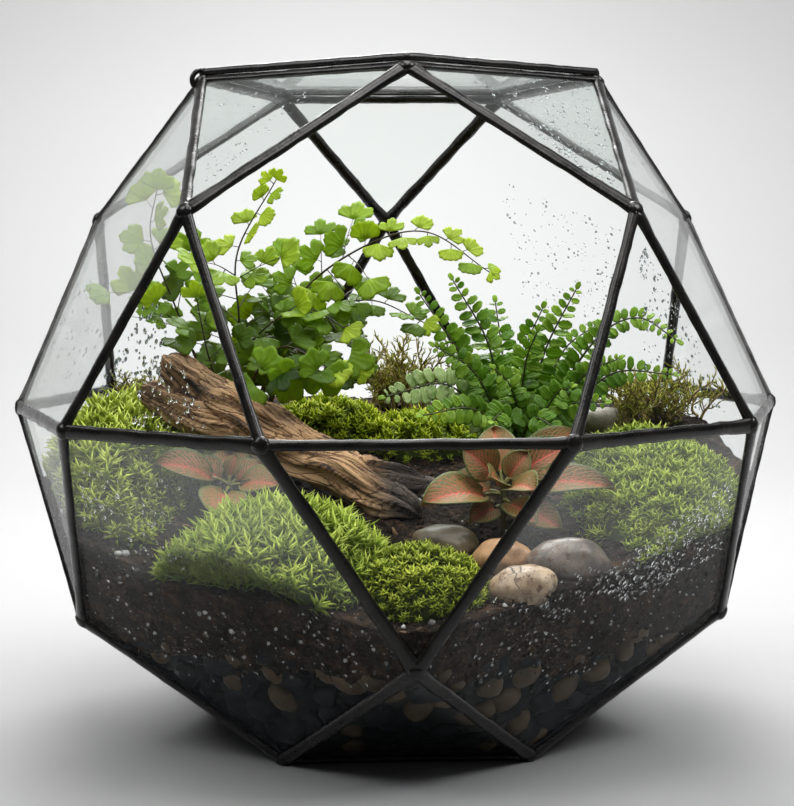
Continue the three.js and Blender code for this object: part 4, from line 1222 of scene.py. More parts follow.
def make_soil():
    heap = Heap()
    add_round_bed(
        heap, SOIL_INSET + 0.5, GRAVEL_TOP + FIT_GAP, ground_height,
        turns=330, side_rows=32, top_rows=46, spill=SPILL_DEPTH,
    )
    for point in heap.points:
        over_side = ground_height(point.x, point.y) - point.z
        amount = crumbly(point)
        if over_side > 1.5 and depth_behind_glass(point) < SOIL_INSET + 2:
            out = Vector((point.x, point.y + CENTRE_SHIFT, 0)).normalized()
            point += out * min(amount * 0.8, 0.5)
        elif point.z > GRAVEL_TOP + 1:
            point += UP * amount
    add_corner_fill(heap, GRAVEL_TOP - 6, lambda x, y: ground_height(x, y) - 0.5)
    piece = new_piece("soil_bed", heap, [SOIL])
    settle(piece, "soil", "soil")


def crumb_shape(seed):
    """A small rough lump, one unit from its middle."""
    shape = ball_shape(1)
    draw = random.Random(seed)
    shape.points = [point * draw.uniform(0.65, 1.15) for point in shape.points]
    return shape


def bark_shape(seed):
    """A short flat splinter, four units long."""
    draw = random.Random(seed)
    heap = Heap()
    stops = [Vector((draw.gauss(0, 0.15), along, draw.gauss(0, 0.2))) for along in (-2, -0.8, 0.7, 2)]
    add_tube(heap, stops, [0.25, 0.6, 0.55, 0.2], 5)
    heap.points = [Vector((point.x, point.y, point.z * 0.5)) for point in heap.points]
    return heap


def on_the_ground(draw):
    azimuth = draw.uniform(-math.pi, math.pi)
    reach = reach_inside(azimuth, 105, 4) * math.sqrt(draw.random())
    spot = off_axis(azimuth, reach, 0)
    spot.z = ground_height(spot.x, spot.y)
    if depth_behind_glass(spot) < 4:
        return on_the_ground(draw)
    return spot


def at_the_side(draw):
    azimuth = draw.uniform(-math.pi, math.pi)
    height = draw.uniform(GRAVEL_TOP - SPILL_DEPTH - 1, SIDE_TOP)
    spot = off_axis(azimuth, reach_inside(azimuth, height, SOIL_INSET + 0.25), height)
    too_low = height < GRAVEL_TOP - SPILL_DEPTH * soil_spill(azimuth) - 3
    if too_low or spot.z > ground_height(spot.x, spot.y):
        return at_the_side(draw)
    return spot


def make_soil_bits():
    """Crumbs, splinters of bark and pale perlite grains, on the soil and against the glass."""
    draw = random.Random(34)
    crumbs = [crumb_shape(seed) for seed in range(8)]
    splinters = [bark_shape(seed) for seed in range(5)]
    heap = Heap()
    finishes = [SOIL, BARK, PERLITE]
    kinds = [
        # shapes, how many, where, least and most size, finish
        (crumbs, 1350, on_the_ground, (0.6, 2.3), SOIL),
        (crumbs, 850, at_the_side, (0.4, 1.5), SOIL),
        (splinters, 330, on_the_ground, (0.5, 1.6), BARK),
        (splinters, 110, at_the_side, (0.4, 0.9), BARK),
        (crumbs, 190, on_the_ground, (0.5, 2.0), PERLITE),
        (crumbs, 1050, at_the_side, (0.12, 0.95), PERLITE),
        (splinters, 130, at_the_side, (0.15, 0.36), PERLITE),
        (crumbs, 30, on_the_ground, (1.4, 2.7), PERLITE),
        (crumbs, 40, at_the_side, (0.9, 1.6), PERLITE),
    ]
    for shapes, count, pick, (least, most), finish in kinds:
        for _ in range(count):
            place = pick(draw)
            way = Vector((draw.gauss(0, 1), draw.gauss(0, 1), draw.gauss(0, 0.35)))
            up = Vector((draw.gauss(0, 0.4), draw.gauss(0, 0.4), 1))
            size = least + (most - least) * draw.random() ** 1.6
            turn = frame_matrix(place, way, up, size)
            shape = draw.choice(shapes)
            points = [turn @ point for point in shape.points]
            if pick is at_the_side:
                points = pulled_inside(points, GLASS_HALF + 0.5)
            heap.add(points, shape.faces, draw.random(), shape.maps, finishes.index(finish))
    piece = new_piece("soil_crumbs_and_perlite", heap, finishes)
    settle(piece, "soil")


# The driftwood: branches joined into one body, then cut by its grain.
WOOD_BRANCHES = [
    [(-98, 2, 160.5, 8), (-86, 1, 151, 10.5), (-71, -4, 140, 12.5), (-55.5, -10, 130, 12.5),
     (-41, -18, 122, 10.5), (-27, -26, 116, 10), (-12, -32, 108.5, 9.5), (2, -38, 101.5, 7)],
    [(-110, 0, 149, 6.5), (-99, -3, 143, 8.5), (-84, -6, 136, 9), (-67, -8, 129, 8)],
    [(-64, -4, 130, 10), (-57, 2, 119, 9), (-51, 6, 109, 8)],
    [(-15, -26, 115, 8.5), (2, -20, 109, 8), (16, -14, 106, 5)],
]
WOOD_VOXEL = 0.95
BRANCH_POINTS = 60
# How deep the grain is cut: the slow swell, the cords, the fine lines and the lumps.
SWELL_DEPTH = 3.2
CORD_DEPTH = 2.3
FINE_DEPTH = 0.75
KNOT_DEPTH = 2.0


def branch_line(stops, count):
    """Points along a branch, each with its radius."""
    line = curve_points([stop[:3] for stop in stops], count)
    radii = []
    for k in range(count):
        place = k / (count - 1) * (len(stops) - 1)
        low = min(int(place), len(stops) - 2)
        radii.append(stops[low][3] + (stops[low + 1][3] - stops[low][3]) * (place - low))
    return line, radii


def wood_grain(along, around, seed):
    """Ridges that run down a branch, deep between and worn round on top."""
    ring = Vector((math.cos(around), math.sin(around), 0))
    slow = noise.noise(ring * 1.5 + Vector((0, 0, along / 42 + seed)))
    cord = noise.noise(ring * 4.4 + Vector((0, 0, along / 34 - seed)))
    fine = noise.noise(ring * 11 + Vector((0, 0, along / 22 + 3 * seed)))
    return slow, cord, fine


def make_driftwood():
    lines = [branch_line(stops, BRANCH_POINTS) for stops in WOOD_BRANCHES]
    knob = ball_shape(3)
    heap = Heap()
    for points, radii in lines:
        add_tube(heap, points, radii, 20)
        for end in (0, -1):
            heap.add_copy(knob, Matrix.Translation(points[end]) @ Matrix.Scale(radii[end], 4))
    piece = new_piece("driftwood_weathered", heap, [WOOD])
    add_modifier(piece, "REMESH", mode="VOXEL", voxel_size=WOOD_VOXEL * MM)
    spots = []
    for seed, (points, radii) in enumerate(lines):
        along = 0
        for k, point in enumerate(points):
            ahead = (points[min(k + 1, len(points) - 1)] - points[max(k - 1, 0)]).normalized()
            spots.append((point, radii[k], ahead, along, seed))
            along += (points[min(k + 1, len(points) - 1)] - point).length
    mesh = piece.data
    tints, grain_places = [], []
    for vertex in mesh.vertices:
        place = vertex.co / MM
        shares = [((place - spot[0]).length / spot[1], k) for k, spot in enumerate(spots)]
        _, best = min(shares)
        middle, radius, ahead, along, seed = spots[best]
        arm = place - middle
        along += arm.dot(ahead)
        arm -= ahead * arm.dot(ahead)
        side = UP - ahead * ahead.z
        side.normalize()
        around = math.atan2(arm.dot(ahead.cross(side)), arm.dot(side))
        twist = around + along / 95 + 0.35 * noise.noise(place / 23)
        slow, cord, fine = wood_grain(along, twist, seed)
        lump = noise.noise(place / 13)
        depth = slow * SWELL_DEPTH + (abs(cord) * 2 - 0.55) * CORD_DEPTH
        depth += fine * FINE_DEPTH
        depth += lump * KNOT_DEPTH
        depth *= min(1.0, radius / 8)
        vertex.co += (place - middle).normalized() * depth * MM
        tints.append(0.5 + cord * 0.5 + fine * 0.45 + lump * 0.25)
        grain_places += [math.cos(twist) * radius / 10, math.sin(twist) * radius / 10]
        grain_places.append(along / 85 + 3 * seed)
    tint = mesh.attributes.get("tint") or mesh.attributes.new("tint", "FLOAT", "POINT")
    tint.data.foreach_set("value", tints)
    grain = mesh.attributes.new("grain_place", "FLOAT_VECTOR", "POINT")
    grain.data.foreach_set("vector", grain_places)
    add_modifier(piece, "SMOOTH", factor=0.3, iterations=1)
    for face in mesh.polygons:
        face.use_smooth = True
    settle(piece, "driftwood", "driftwood")


# The five river stones.
STONES = {
    # name: place, half sizes, turn, dark and light colours, roughness, cracks, rust
    "stone_dark_brown": (
        (16, -74), (14.5, 10, 8), 10, ((0.055, 0.040, 0.018), (0.17, 0.130, 0.078)), 0.46, 0.0, 0.0),
    "stone_orange_tan": (
        (38, -87), (12, 9, 8.5), -12, ((0.36, 0.175, 0.070), (0.62, 0.36, 0.18)), 0.42, 0.1, 0.2),
    "stone_grey_brown": (
        (63, -98.5), (16.5, 11, 9.5), -8, ((0.085, 0.066, 0.055), (0.28, 0.22, 0.18)), 0.29, 0.75, 0.75),
    "stone_mottled_tan": (
        (43, -116), (13, 9.5, 9), 6, ((0.26, 0.165, 0.100), (0.66, 0.49, 0.32)), 0.36, 0.9, 0.9),
    "stone_grey_rear": (
        (97, 44), (13, 9, 8), 0, ((0.20, 0.175, 0.14), (0.44, 0.40, 0.33)), 0.5, 0.0, 0.3),
}


def make_stones():
    for seed, (name, details) in enumerate(STONES.items()):
        (x, y), sizes, turned, (dark, light), roughness, cracks, rust = details
        finish = stone_finish("finish_of_" + name, dark, light, 75, roughness, cracks, rust)
        shape = pebble_shape(seed + 40, 4, sizes, 1.6)
        height = ground_height(x, y) + 0.4 * sizes[2]
        turn = Matrix.Translation((x, y, height)) @ Matrix.Rotation(math.radians(turned), 4, "Z")
        heap = Heap()
        heap.add_copy(shape, turn)
        piece = new_piece(name + "_worn", heap, [finish])
        settle(piece, "river_stone", name)


# The moss: a low dark core, set close with leafy shoots.
def add_blade(heap, foot, way, up, length, width, droop, tints, finish=0):
    """A narrow closed blade, keeled below, that bends over towards its tip."""
    side = way.cross(up).normalized()
    over = side.cross(way)
    middle = foot + way * length * 0.5 + over * droop * length * 0.1
    tip = foot + way * length - over * droop * length * 0.35
    half = width / 2
    points = [
        foot - side * half * 0.6, foot + side * half * 0.6, foot - over * half * 0.5,
        middle - side * half, middle + side * half, middle - over * half * 0.5, tip,
    ]
    faces = [(0, 2, 1), (0, 1, 4, 3), (1, 2, 5, 4), (2, 0, 3, 5), (3, 4, 6), (4, 5, 6), (5, 3, 6)]
    base = len(heap.points)
    heap.add(points, faces, 0.5, None, finish)
    low, high = tints
    heap.tints[base:] = [low, low, low, (low + high) / 2, (low + high) / 2, (low + high) / 2, high]


def shoot_shape(seed, blades, length, width, splay, droop, tall):
    """A leafy shoot, one unit tall: blades in turns round a stem, the upper ones steeper."""
    draw = random.Random(seed)
    heap = Heap()
    for k in range(blades):
        share = k / (blades - 1)
        turn = 2.4 * k + draw.uniform(-0.3, 0.3)
        lean = splay * (1.15 - 0.75 * share) + draw.gauss(0, 0.08)
        out = Vector((math.cos(turn), math.sin(turn), 0))
        way = out * math.sin(lean) + UP * math.cos(lean)
        up = UP * math.sin(lean) - out * math.cos(lean)
        foot = Vector((0, 0, tall * share))
        long = length * draw.uniform(0.8, 1.15) * (1 - 0.25 * share)
        add_blade(heap, foot, way, up, long, width, droop, (0.12 + 0.45 * share, 0.55 + 0.4 * share))
    return heap


MOSSES = {
    # name: (domes, shoots, (blades, blade length, width, splay, droop, tall), size, colours)
    "moss_front_left": (
        [((-54, -92), (45, 35), 20)], 640, (10, 1.05, 0.13, 1.0, 0.5, 0.5), (7.5, 11.5),
        ((0.050, 0.085, 0.008), (0.32, 0.46, 0.040), (0.78, 0.88, 0.15)),
    ),
    "moss_left_bank": (
        [((-120, -8), (30, 60), 16)], 760, (9, 0.85, 0.14, 0.9, 0.6, 0.8), (7.5, 12.0),
        ((0.055, 0.075, 0.010), (0.45, 0.56, 0.055), (0.86, 0.94, 0.17)),
    ),
    "moss_front_centre": (
        [((5, -113), (24, 22), 17)], 400, (11, 0.70, 0.15, 0.85, 0.7, 0.5), (4.6, 7.0),
        ((0.035, 0.060, 0.004), (0.27, 0.37, 0.018), (0.70, 0.75, 0.085)),
    ),
    "moss_cushions": (
        [((-34, 40), (28, 20), 14), ((12, 30), (27, 20), 12)], 600, (10, 0.76, 0.14, 0.9, 0.6, 0.5),
        (5.2, 8.0), ((0.035, 0.065, 0.004), (0.50, 0.68, 0.022), (0.95, 0.98, 0.07)),
    ),
    "moss_right_bank": (
        [((108, -34), (36, 58), 14)], 1000, (8, 0.80, 0.125, 0.9, 0.7, 0.6), (5.0, 8.0),
        ((0.040, 0.065, 0.006), (0.35, 0.48, 0.038), (0.80, 0.90, 0.14)),
    ),
}


# The shoots stay short under the nerve plant's leaf that lies over the left bank.
UNDER_A_LEAF = Vector((-106, -42))
LEAF_SHADE = 17
# How round a cushion's top is, and how far its core stays under the shoots' feet.
DOME_POWER = 0.6
CORE_DROP = 1.2
SHOOT_SINK = 2.2
SHOOT_KINDS = 7
MOSS_OFF_GLASS = GLASS_HALF + 2.2
FARTHEST_PUSH = 16


def moss_surface(domes, x, y):
    """The moss's own height, and how far in from its edge a place lies (0 at the edge)."""
    height = None
    most = 0
    for (at_x, at_y), (reach_x, reach_y), rise in domes:
        wobble = 1 + 0.13 * noise.noise(Vector((x / 15, y / 15, at_x)))
        share = math.hypot((x - at_x) / reach_x, (y - at_y) / reach_y) / wobble
        if share < 1:
            lumps = 1.1 * noise.noise(Vector((x / 7, y / 7, at_y)))
            level = ground_height(x, y) + rise * (1 - share ** 2) ** DOME_POWER + lumps
            height = level if height is None else max(height, level)
            most = max(most, 1 - share)
    return height, most


def moss_slope(domes, x, y, step_x, step_y):
    """How steeply the moss falls away over a short step."""
    here, _ = moss_surface(domes, x, y)
    there, _ = moss_surface(domes, x + step_x, y + step_y)
    if there is None:
        return 0.9
    return max(-1.6, min(1.6, (here - there) / 2))


def add_moss_core(heap, domes):
    """The matted underside of a cushion, a closed mound a little under the shoots."""
    for (at_x, at_y), (reach_x, reach_y), rise in domes:
        rings, turns = 14, 48
        points = [Vector((at_x, at_y, ground_height(at_x, at_y) + rise - CORE_DROP))]
        for j in range(1, rings + 1):
            share = j / rings
            for k in range(turns):
                turn = FULL_TURN * k / turns
                wobble = 1 + 0.13 * noise.noise(Vector((at_x + reach_x * math.cos(turn),
                                                        at_y + reach_y * math.sin(turn), at_x)) / 15)
                x = at_x + reach_x * share * wobble * 0.97 * math.cos(turn)
                y = at_y + reach_y * share * wobble * 0.97 * math.sin(turn)
                lumps = 1.3 * noise.noise(Vector((x / 6, y / 6, at_y)))
                level = ground_height(x, y) + rise * max(1 - share ** 2, 0) ** DOME_POWER - CORE_DROP
                level += lumps * 0.8
                points.append(Vector((x, y, level if j < rings else ground_height(x, y) - 2)))
        points.append(Vector((at_x, at_y, ground_height(at_x, at_y) - 2.5)))
        faces = [(0, 1 + k, 1 + (k + 1) % turns) for k in range(turns)]
        for j in range(rings - 1):
            for k in range(turns):
                a, b = 1 + j * turns + k, 1 + j * turns + (k + 1) % turns
                faces.append((a, a + turns, b + turns, b))
        last = 1 + (rings - 1) * turns
        faces += [(last + k, len(points) - 1, last + (k + 1) % turns) for k in range(turns)]
        heap.add(held_off_glass(points, GLASS_HALF + 3.5), faces, 0.08)


def make_moss(name, details):
    domes, count, habit, (least, most), colours = details
    finish = green_blades("green_of_" + name, *colours, (0.5, 0.62, 0.12))
    draw = random.Random(name)
    shoots = [shoot_shape(seed + 3, *habit) for seed in range(SHOOT_KINDS)]
    heap = Heap()
    add_moss_core(heap, domes)
    set_down = 0
    while set_down < count:
        (at_x, at_y), (reach_x, reach_y), _ = draw.choice(domes)
        x = at_x + reach_x * draw.uniform(-1.1, 1.1)
        y = at_y + reach_y * draw.uniform(-1.1, 1.1)
        height, inward = moss_surface(domes, x, y)
        if height is None:
            continue
        place = Vector((x, y, height - SHOOT_SINK))
        gap = depth_behind_glass(place)
        if gap < GLASS_HALF + 2:
            place.z = draw.uniform(ground_height(x, y) - 1, height)
            place = held_off_glass([place], MOSS_OFF_GLASS)[0]
            if (place - Vector((x, y, place.z))).length > FARTHEST_PUSH:
                continue
            gap = MOSS_OFF_GLASS
        slope = Vector((
            moss_slope(domes, x, y, 2, 0), moss_slope(domes, x, y, 0, 2), 1,
        )).normalized()
        lean = slope + Vector((draw.gauss(0, 0.22), draw.gauss(0, 0.22), 0))
        size = draw.uniform(least, most) * (0.75 + 0.35 * min(1, inward * 3))
        if math.hypot(x - UNDER_A_LEAF.x, y - UNDER_A_LEAF.y) < LEAF_SHADE:
            size *= 0.6
        side = Vector((draw.gauss(0, 1), draw.gauss(0, 1), 0)).normalized()
        turn = frame_matrix(place, side - lean * side.dot(lean) / lean.length_squared, lean, size)
        shoot = draw.choice(shoots)
        base = len(heap.points)
        shade = draw.gauss(0, 0.07) + 0.16 * noise.noise(place / 12)
        points = [turn @ point for point in shoot.points]
        if gap < size * 1.5:
            points = held_off_glass(points)
        heap.add(points, shoot.faces)
        heap.tints[base:] = [tint + shade for tint in shoot.tints]
        set_down += 1
    piece = new_piece(name + "_shoots", heap, [finish])
    settle(piece, "moss", name)


# Leaves are flat grids, bent, then thickened a little.
FAN_STEPS = 21
FAN_RINGS = (0.45, 0.82, 1.0)
FAN_TEETH = (-0.055, 0.02, 0.02)


def fan_leaflet(seed, lobes, notch, half_angle, teeth=1.0):
    """A maidenhair leaflet: a wedge whose round outer edge is cut into lobes, each finely scalloped."""
    draw = random.Random(seed)
    half_angle = math.radians(half_angle + draw.uniform(-5, 5))
    outline = []
    for k in range(FAN_STEPS + 1):
        share = k / FAN_STEPS
        turn = half_angle * (2 * share - 1)
        lobe = abs(math.sin(math.pi * lobes * share))
        radius = 1 - notch * (1 - lobe ** 0.45) + FAN_TEETH[k % 3] * teeth
        radius *= 1 - 0.16 * abs(2 * share - 1) ** 3
        if k in (0, FAN_STEPS):
            radius = 0.74
        outline.append(Vector((math.sin(turn) * radius, math.cos(turn) * radius, 0)))
    points, spread = [Vector((0, 0, 0))], [(0.5, 0)]
    cup = draw.uniform(-0.10, 0.12)
    roll = draw.uniform(-0.08, 0.06)
    for share in FAN_RINGS:
        for k, rim in enumerate(outline):
            point = rim * share
            fold = 0.022 * math.sin(7 * k / FAN_STEPS * math.pi) * share
            point.z = cup * point.length ** 2 + fold - (0.10 + roll) * point.x ** 2
            points.append(point)
            spread.append((k / FAN_STEPS, share))
    faces = [(0, 2 + k, 1 + k) for k in range(FAN_STEPS)]
    faces += grid_faces(len(FAN_RINGS) - 1, FAN_STEPS, 1)
    heap = Heap()
    heap.add(points, faces, 0.5, spread)
    return heap


def round_leaflet(seed, wide=0.78, crinkle=0.03):
    """A button fern leaflet: nearly round, on a very short stalk, with a finely toothed edge."""
    draw = random.Random(seed)
    columns, rows = 4, 6
    points, spread = [], []
    for j in range(rows + 1):
        along = j / rows
        half = wide / 2 * math.sqrt(max(1 - (2 * (0.04 + 0.94 * along) - 1) ** 2, 0)) ** 0.8
        half *= 1 + 0.07 * (-1) ** j
        for k in range(columns + 1):
            across = 2 * k / columns - 1
            height = 0.05 - 0.11 * wide * (1 - abs(across)) ** 2 + crinkle * draw.uniform(-1, 1)
            points.append(Vector((across * half, along, height - 0.16 * (along - 0.4) ** 2)))
            spread.append((k / columns, along))
    heap = Heap()
    heap.add(points, grid_faces(rows, columns), 0.5, spread)
    return heap


TOOTHED_LEAVES = [fan_leaflet(seed, 2 + seed % 2, 0.16 + 0.045 * seed, 76) for seed in range(6)]
LOBED_LEAVES = [fan_leaflet(seed, 3, 0.32 + 0.02 * seed, 84, 0.8) for seed in range(6)]
CLOVER_LEAVES = [fan_leaflet(seed, 3 + seed % 2, 0.36, 96, 0.3) for seed in range(4)]
ROUND_LEAVES = [round_leaflet(seed, 0.7 + 0.03 * (seed % 3), 0.055) for seed in range(6)]
CRINKLED_LEAVES = [round_leaflet(seed, 0.7, 0.09) for seed in range(5)]


def add_leaf(heap, shape, place, along, up, size, tint, finish=0):
    turn = frame_matrix(place, along, up, size)
    points = [turn @ point for point in shape.points]
    if depth_behind_glass(place) < size * 1.3:
        points = held_off_glass(points)
    heap.add(points, shape.faces, tint, shape.maps, finish)


MAIDENHAIR = {
    # name: root, then each frond's stops, side stalks, first share with leaves, and leaflet size
    # low down and at the tip
    "maidenhair_tall": ((-74, 28), [
        ([(-73, 24, 140), (-72, 14, 180), (-72, 6, 212), (-54, -5, 244)], 17, 0.3, 12.5, 7.0),
        ([(-73, 21, 160), (-62, 10, 176), (-46, 2, 188)], 6, 0.4, 11.5, 11.0),
    ]),
    "maidenhair_left": ((-79, 31), [
        ([(-86, 26, 145), (-100, 16, 185), (-111, 11, 218), (-108, 10, 240)], 10, 0.48, 15.0, 12.5),
        ([(-85, 27, 150), (-96, 16, 172), (-108, 6, 190)], 6, 0.55, 11.5, 11.0),
    ]),
    "maidenhair_arch": ((-69, 31), [
        ([(-62, 30, 150), (-46, 20, 190), (-18, 9, 213), (12, -2, 221), (40, -10, 203)], 21, 0.3, 12.0, 7.0),
        ([(-50, 23, 183), (-38, 8, 186), (-24, -2, 178)], 7, 0.35, 11.5, 11.0),
    ]),
    "maidenhair_middle": ((-66, 37), [
        ([(-56, 37, 150), (-36, 30, 182), (-12, 18, 190), (12, 8, 180)], 14, 0.3, 11.5, 9.5),
        ([(-46, 34, 168), (-34, 20, 160), (-18, 8, 158)], 7, 0.35, 11.5, 11.0),
    ]),
    "maidenhair_low": ((-75, 22), [
        ([(-79, 14, 140), (-86, 4, 168), (-90, -2, 192)], 6, 0.55, 11.0, 10.5),
        ([(-68, 12, 150), (-52, -2, 170), (-30, -14, 160)], 8, 0.3, 12.0, 12.0),
    ]),
}
# The broadest leaves, low at the front: foot, which way each points, and how long it is.
BROAD_LEAVES = [
    ((-34, -15, 160), (0.25, -0.1, -0.5), 12.5), ((-36, -16, 161), (-0.7, 0, 0.75), 10.0),
    ((-49, -13, 156), (-0.15, -0.1, 0.9), 10.0), ((-50, -13, 156), (0.2, 0, -0.9), 11.0),
    ((-64, -9, 153), (-0.5, 0, -0.5), 11.0), ((-61, -8, 161), (0.5, 0, 0.4), 11.0),
    ((-22, -12, 166), (0.9, 0, -0.35), 11.5),
]
LOWEST_LEAF = 149
FROND_STEPS = 59


def add_frond_stem(stems, root, stops, thickness, tint):
    """A frond's stem, thinning to its tip. Gives back the points along it."""
    x, y = root
    line = curve_points([(x, y, ground_height(x, y) - 1)] + stops, FROND_STEPS + 1)
    add_tube(stems, line, [thickness - 0.5 * k / FROND_STEPS for k in range(len(line))], 6, tint)
    return line


def settle_plant(name, slot_name, leaves, leaf_finishes, thickness, stems, stalk, ending="_leaflets"):
    """A plant's leaves are thickened and stand for its CAD node, and its stalks go with them."""
    piece = new_piece(name + ending, leaves, leaf_finishes)
    thicken(piece, thickness)
    settle(piece, slot_name, name)
    settle(new_piece(name + "_stalks", stems, [stalk]), slot_name)


def make_maidenhair():
    finish = fern_leaf(
        "maidenhair_green", (0.022, 0.066, 0.004), (0.26, 0.45, 0.020), (0.70, 0.84, 0.06),
        (0.86, 1.0, 0.05), 0.5, 0.45, 42,
    )
    stalk = plain_grain("dark_wiry_stalk", (0.035, 0.018, 0.010), (0.13, 0.10, 0.035), 800, 0.35)
    for name, (root, fronds) in MAIDENHAIR.items():
        draw = random.Random(name)
        leaves, stems = Heap(), Heap()
        for stops, joints, first, low_size, tip_size in fronds:
            line = add_frond_stem(stems, root, stops, 0.75, 0.25)
            start = FROND_STEPS * first
            for k in range(joints):
                share = (k + draw.uniform(-0.25, 0.25)) / (joints - 1)
                at = int(min(FROND_STEPS - 1, max(start, start + share * (FROND_STEPS - start))))
                ahead = (line[at + 1] - line[at - 1]).normalized()
                reached = at / FROND_STEPS
                size = low_size + (tip_size - low_size) * max(0, (reached - 0.55) / 0.45)
                add_side_stalk(leaves, stems, line[at], ahead, k, 1 - reached, size, draw)
            tip = (line[-1] - line[-3]).normalized()
            up = Vector((0, -0.85, 0.45))
            add_leaf(leaves, draw.choice(TOOTHED_LEAVES), line[-1], tip, up, tip_size * 0.8, 0.85)
        if name == "maidenhair_low":
            for foot, way, size in BROAD_LEAVES:
                foot = Vector(foot)
                behind = foot + Vector((0, 9, -3))
                add_tube(stems, curve_points([behind, behind.lerp(foot, 0.6), foot], 8), [0.3] * 8, 4, 0.3)
                up = Vector((draw.gauss(0, 0.12), -0.9, 0.4))
                shape = draw.choice(CLOVER_LEAVES)
                add_leaf(leaves, shape, foot, Vector(way), up, size, draw.uniform(0.34, 0.5))
        settle_plant(name, "maidenhair", leaves, [finish], 0.26, stems, stalk)


def leaf_green_with_painted_shade(spot, draw):
    """Lighter towards the top of the plant, and darker low down and at its back: painted shade for the inner
    and back leaves, which lie in the plant's own shadow.
    """
    level = min(max((spot.z - 140) / 90, 0), 1)
    # The fall by height and the step down at the back are painted shade.
    return 0.08 + 0.74 * level + draw.gauss(0, 0.11) - 0.2 * (spot.y > 14)


def add_side_stalk(leaves, stems, place, ahead, order, left, size, draw):
    """A thin side stalk with leaflets one after another, or near the tip a single leaflet."""
    height_share = min(max((place.z - 135) / 105, 0), 1)
    flat = 1 - abs(2 * height_share - 0.95)
    facing = Vector((
        draw.gauss(0, 0.2), draw.gauss(-0.85 + 0.3 * flat, 0.15), draw.gauss(0.4 + 0.4 * flat, 0.15),
    ))
    hand = 1 if order % 2 else -1
    side = ahead.cross(facing).normalized() * hand
    if left < 0.36:
        along = side * 0.9 + ahead * draw.uniform(0.1, 0.7)
        along += Vector((draw.gauss(0, 0.2), 0, draw.gauss(0, 0.2)))
        along.normalize()
        size *= draw.uniform(0.78, 1.06)
        foot = place + along * size * draw.uniform(0.15, 0.4)
        add_tube(stems, [place, place.lerp(foot, 0.5), foot], [0.26, 0.24, 0.22], 4, 0.3)
        shape = draw.choice(TOOTHED_LEAVES)
        add_leaf(leaves, shape, foot, along, facing, size * 0.9, leaf_green_with_painted_shade(foot, draw))
        return
    count = draw.choice((2, 2, 3, 3))
    reach = size * (0.4 + 0.56 * count)
    way = side * 0.92 + ahead * 0.42 + Vector((0, draw.gauss(-0.05, 0.3), draw.gauss(0.05, 0.16)))
    way.normalize()
    drop = Vector((0, 0, -1)) * reach * draw.uniform(0.05, 0.2)
    line = curve_points([place, place + way * reach * 0.5, place + way * reach + drop], 12)
    add_tube(stems, line, [0.34 - 0.017 * k for k in range(12)], 4, 0.3)
    for k in range(count):
        at = 11 if k == count - 1 else 2 + int(9 * (k + 0.35) / count)
        spot = line[at]
        along = (line[at] - line[at - 1]).normalized()
        if k < count - 1:
            across = along.cross(facing).normalized() * (1 if (k + order) % 2 else -1)
            along = along * 0.5 + across * 0.95 + shake(draw, 0.14)
            along.y *= 0.4
            along.normalize()
            foot = spot + along * size * draw.uniform(0.12, 0.22)
            add_tube(stems, [spot, spot.lerp(foot, 0.5), foot], [0.24, 0.22, 0.2], 4, 0.3)
            spot = foot
        by_the_log = spot.x < -84 and spot.z < 172
        far_left = spot.x < -96 and spot.z < 187
        if spot.z < LOWEST_LEAF or by_the_log or far_left:
            continue
        up = facing + shake(draw, 0.18)
        wide = size * draw.uniform(0.72, 1.0)
        shapes = TOOTHED_LEAVES if draw.random() < height_share else LOBED_LEAVES
        add_leaf(leaves, draw.choice(shapes), spot, along, up.normalized(), wide, leaf_green_with_painted_shade(spot, draw))


BUTTON_FERN = {
    # name: root, then each frond's stops and how light its green is
    "button_fern_left": ((51, 16), [
        ([(49, 16, 135), (42, 18, 170), (26, 20, 199)], 0.5),
        ([(46, 15, 128), (32, 12, 160), (10, 10, 193)], 0.5),
        ([(42, 9, 132), (22, 3, 152), (-6, 0, 147)], 0.85),
        ([(48, 12, 132), (34, 2, 158), (16, -6, 170)], 0.45),
        ([(47, 10, 130), (32, -6, 142), (10, -16, 140)], 0.6),
    ]),
    "button_fern_tall": ((57, 15), [
        ([(59, 13, 135), (68, 10, 168), (81, 5, 195)], 0.55),
        ([(55, 22, 140), (60, 20, 168), (67, 16, 186)], 0.5),
        ([(53, 28, 140), (50, 38, 170), (48, 44, 188)], 0.4),
        ([(56, 10, 138), (58, 4, 162), (62, -4, 176)], 0.5),
        ([(56, 10, 134), (50, -2, 152), (42, -10, 160)], 0.45),
    ]),
    "button_fern_right": ((62, 13), [
        ([(70, 10, 140), (90, 5, 172), (108, 0, 182), (125, -5, 172)], 0.6),
        ([(75, 13, 134), (98, 9, 156), (125, 4, 156)], 0.55),
        ([(70, 8, 134), (84, 0, 156), (98, -8, 164)], 0.45),
        ([(66, 18, 140), (78, 24, 166), (94, 26, 178)], 0.4),
    ]),
    "button_fern_low": ((58, 8), [
        ([(64, 3, 128), (76, -6, 143), (91, -14, 145)], 0.45),
        ([(56, 0, 126), (60, -12, 138), (69, -24, 134)], 0.4),
        ([(54, 0, 128), (46, -12, 140), (40, -24, 138)], 0.35),
        ([(62, 2, 130), (70, -8, 148), (76, -16, 152)], 0.4),
    ]),
}


PALE_FROND = ("button_fern_left", 2)
LEAFLET_LENGTH = 7.9
SHORTER_LEAFLETS = {"button_fern_right": 6.7}


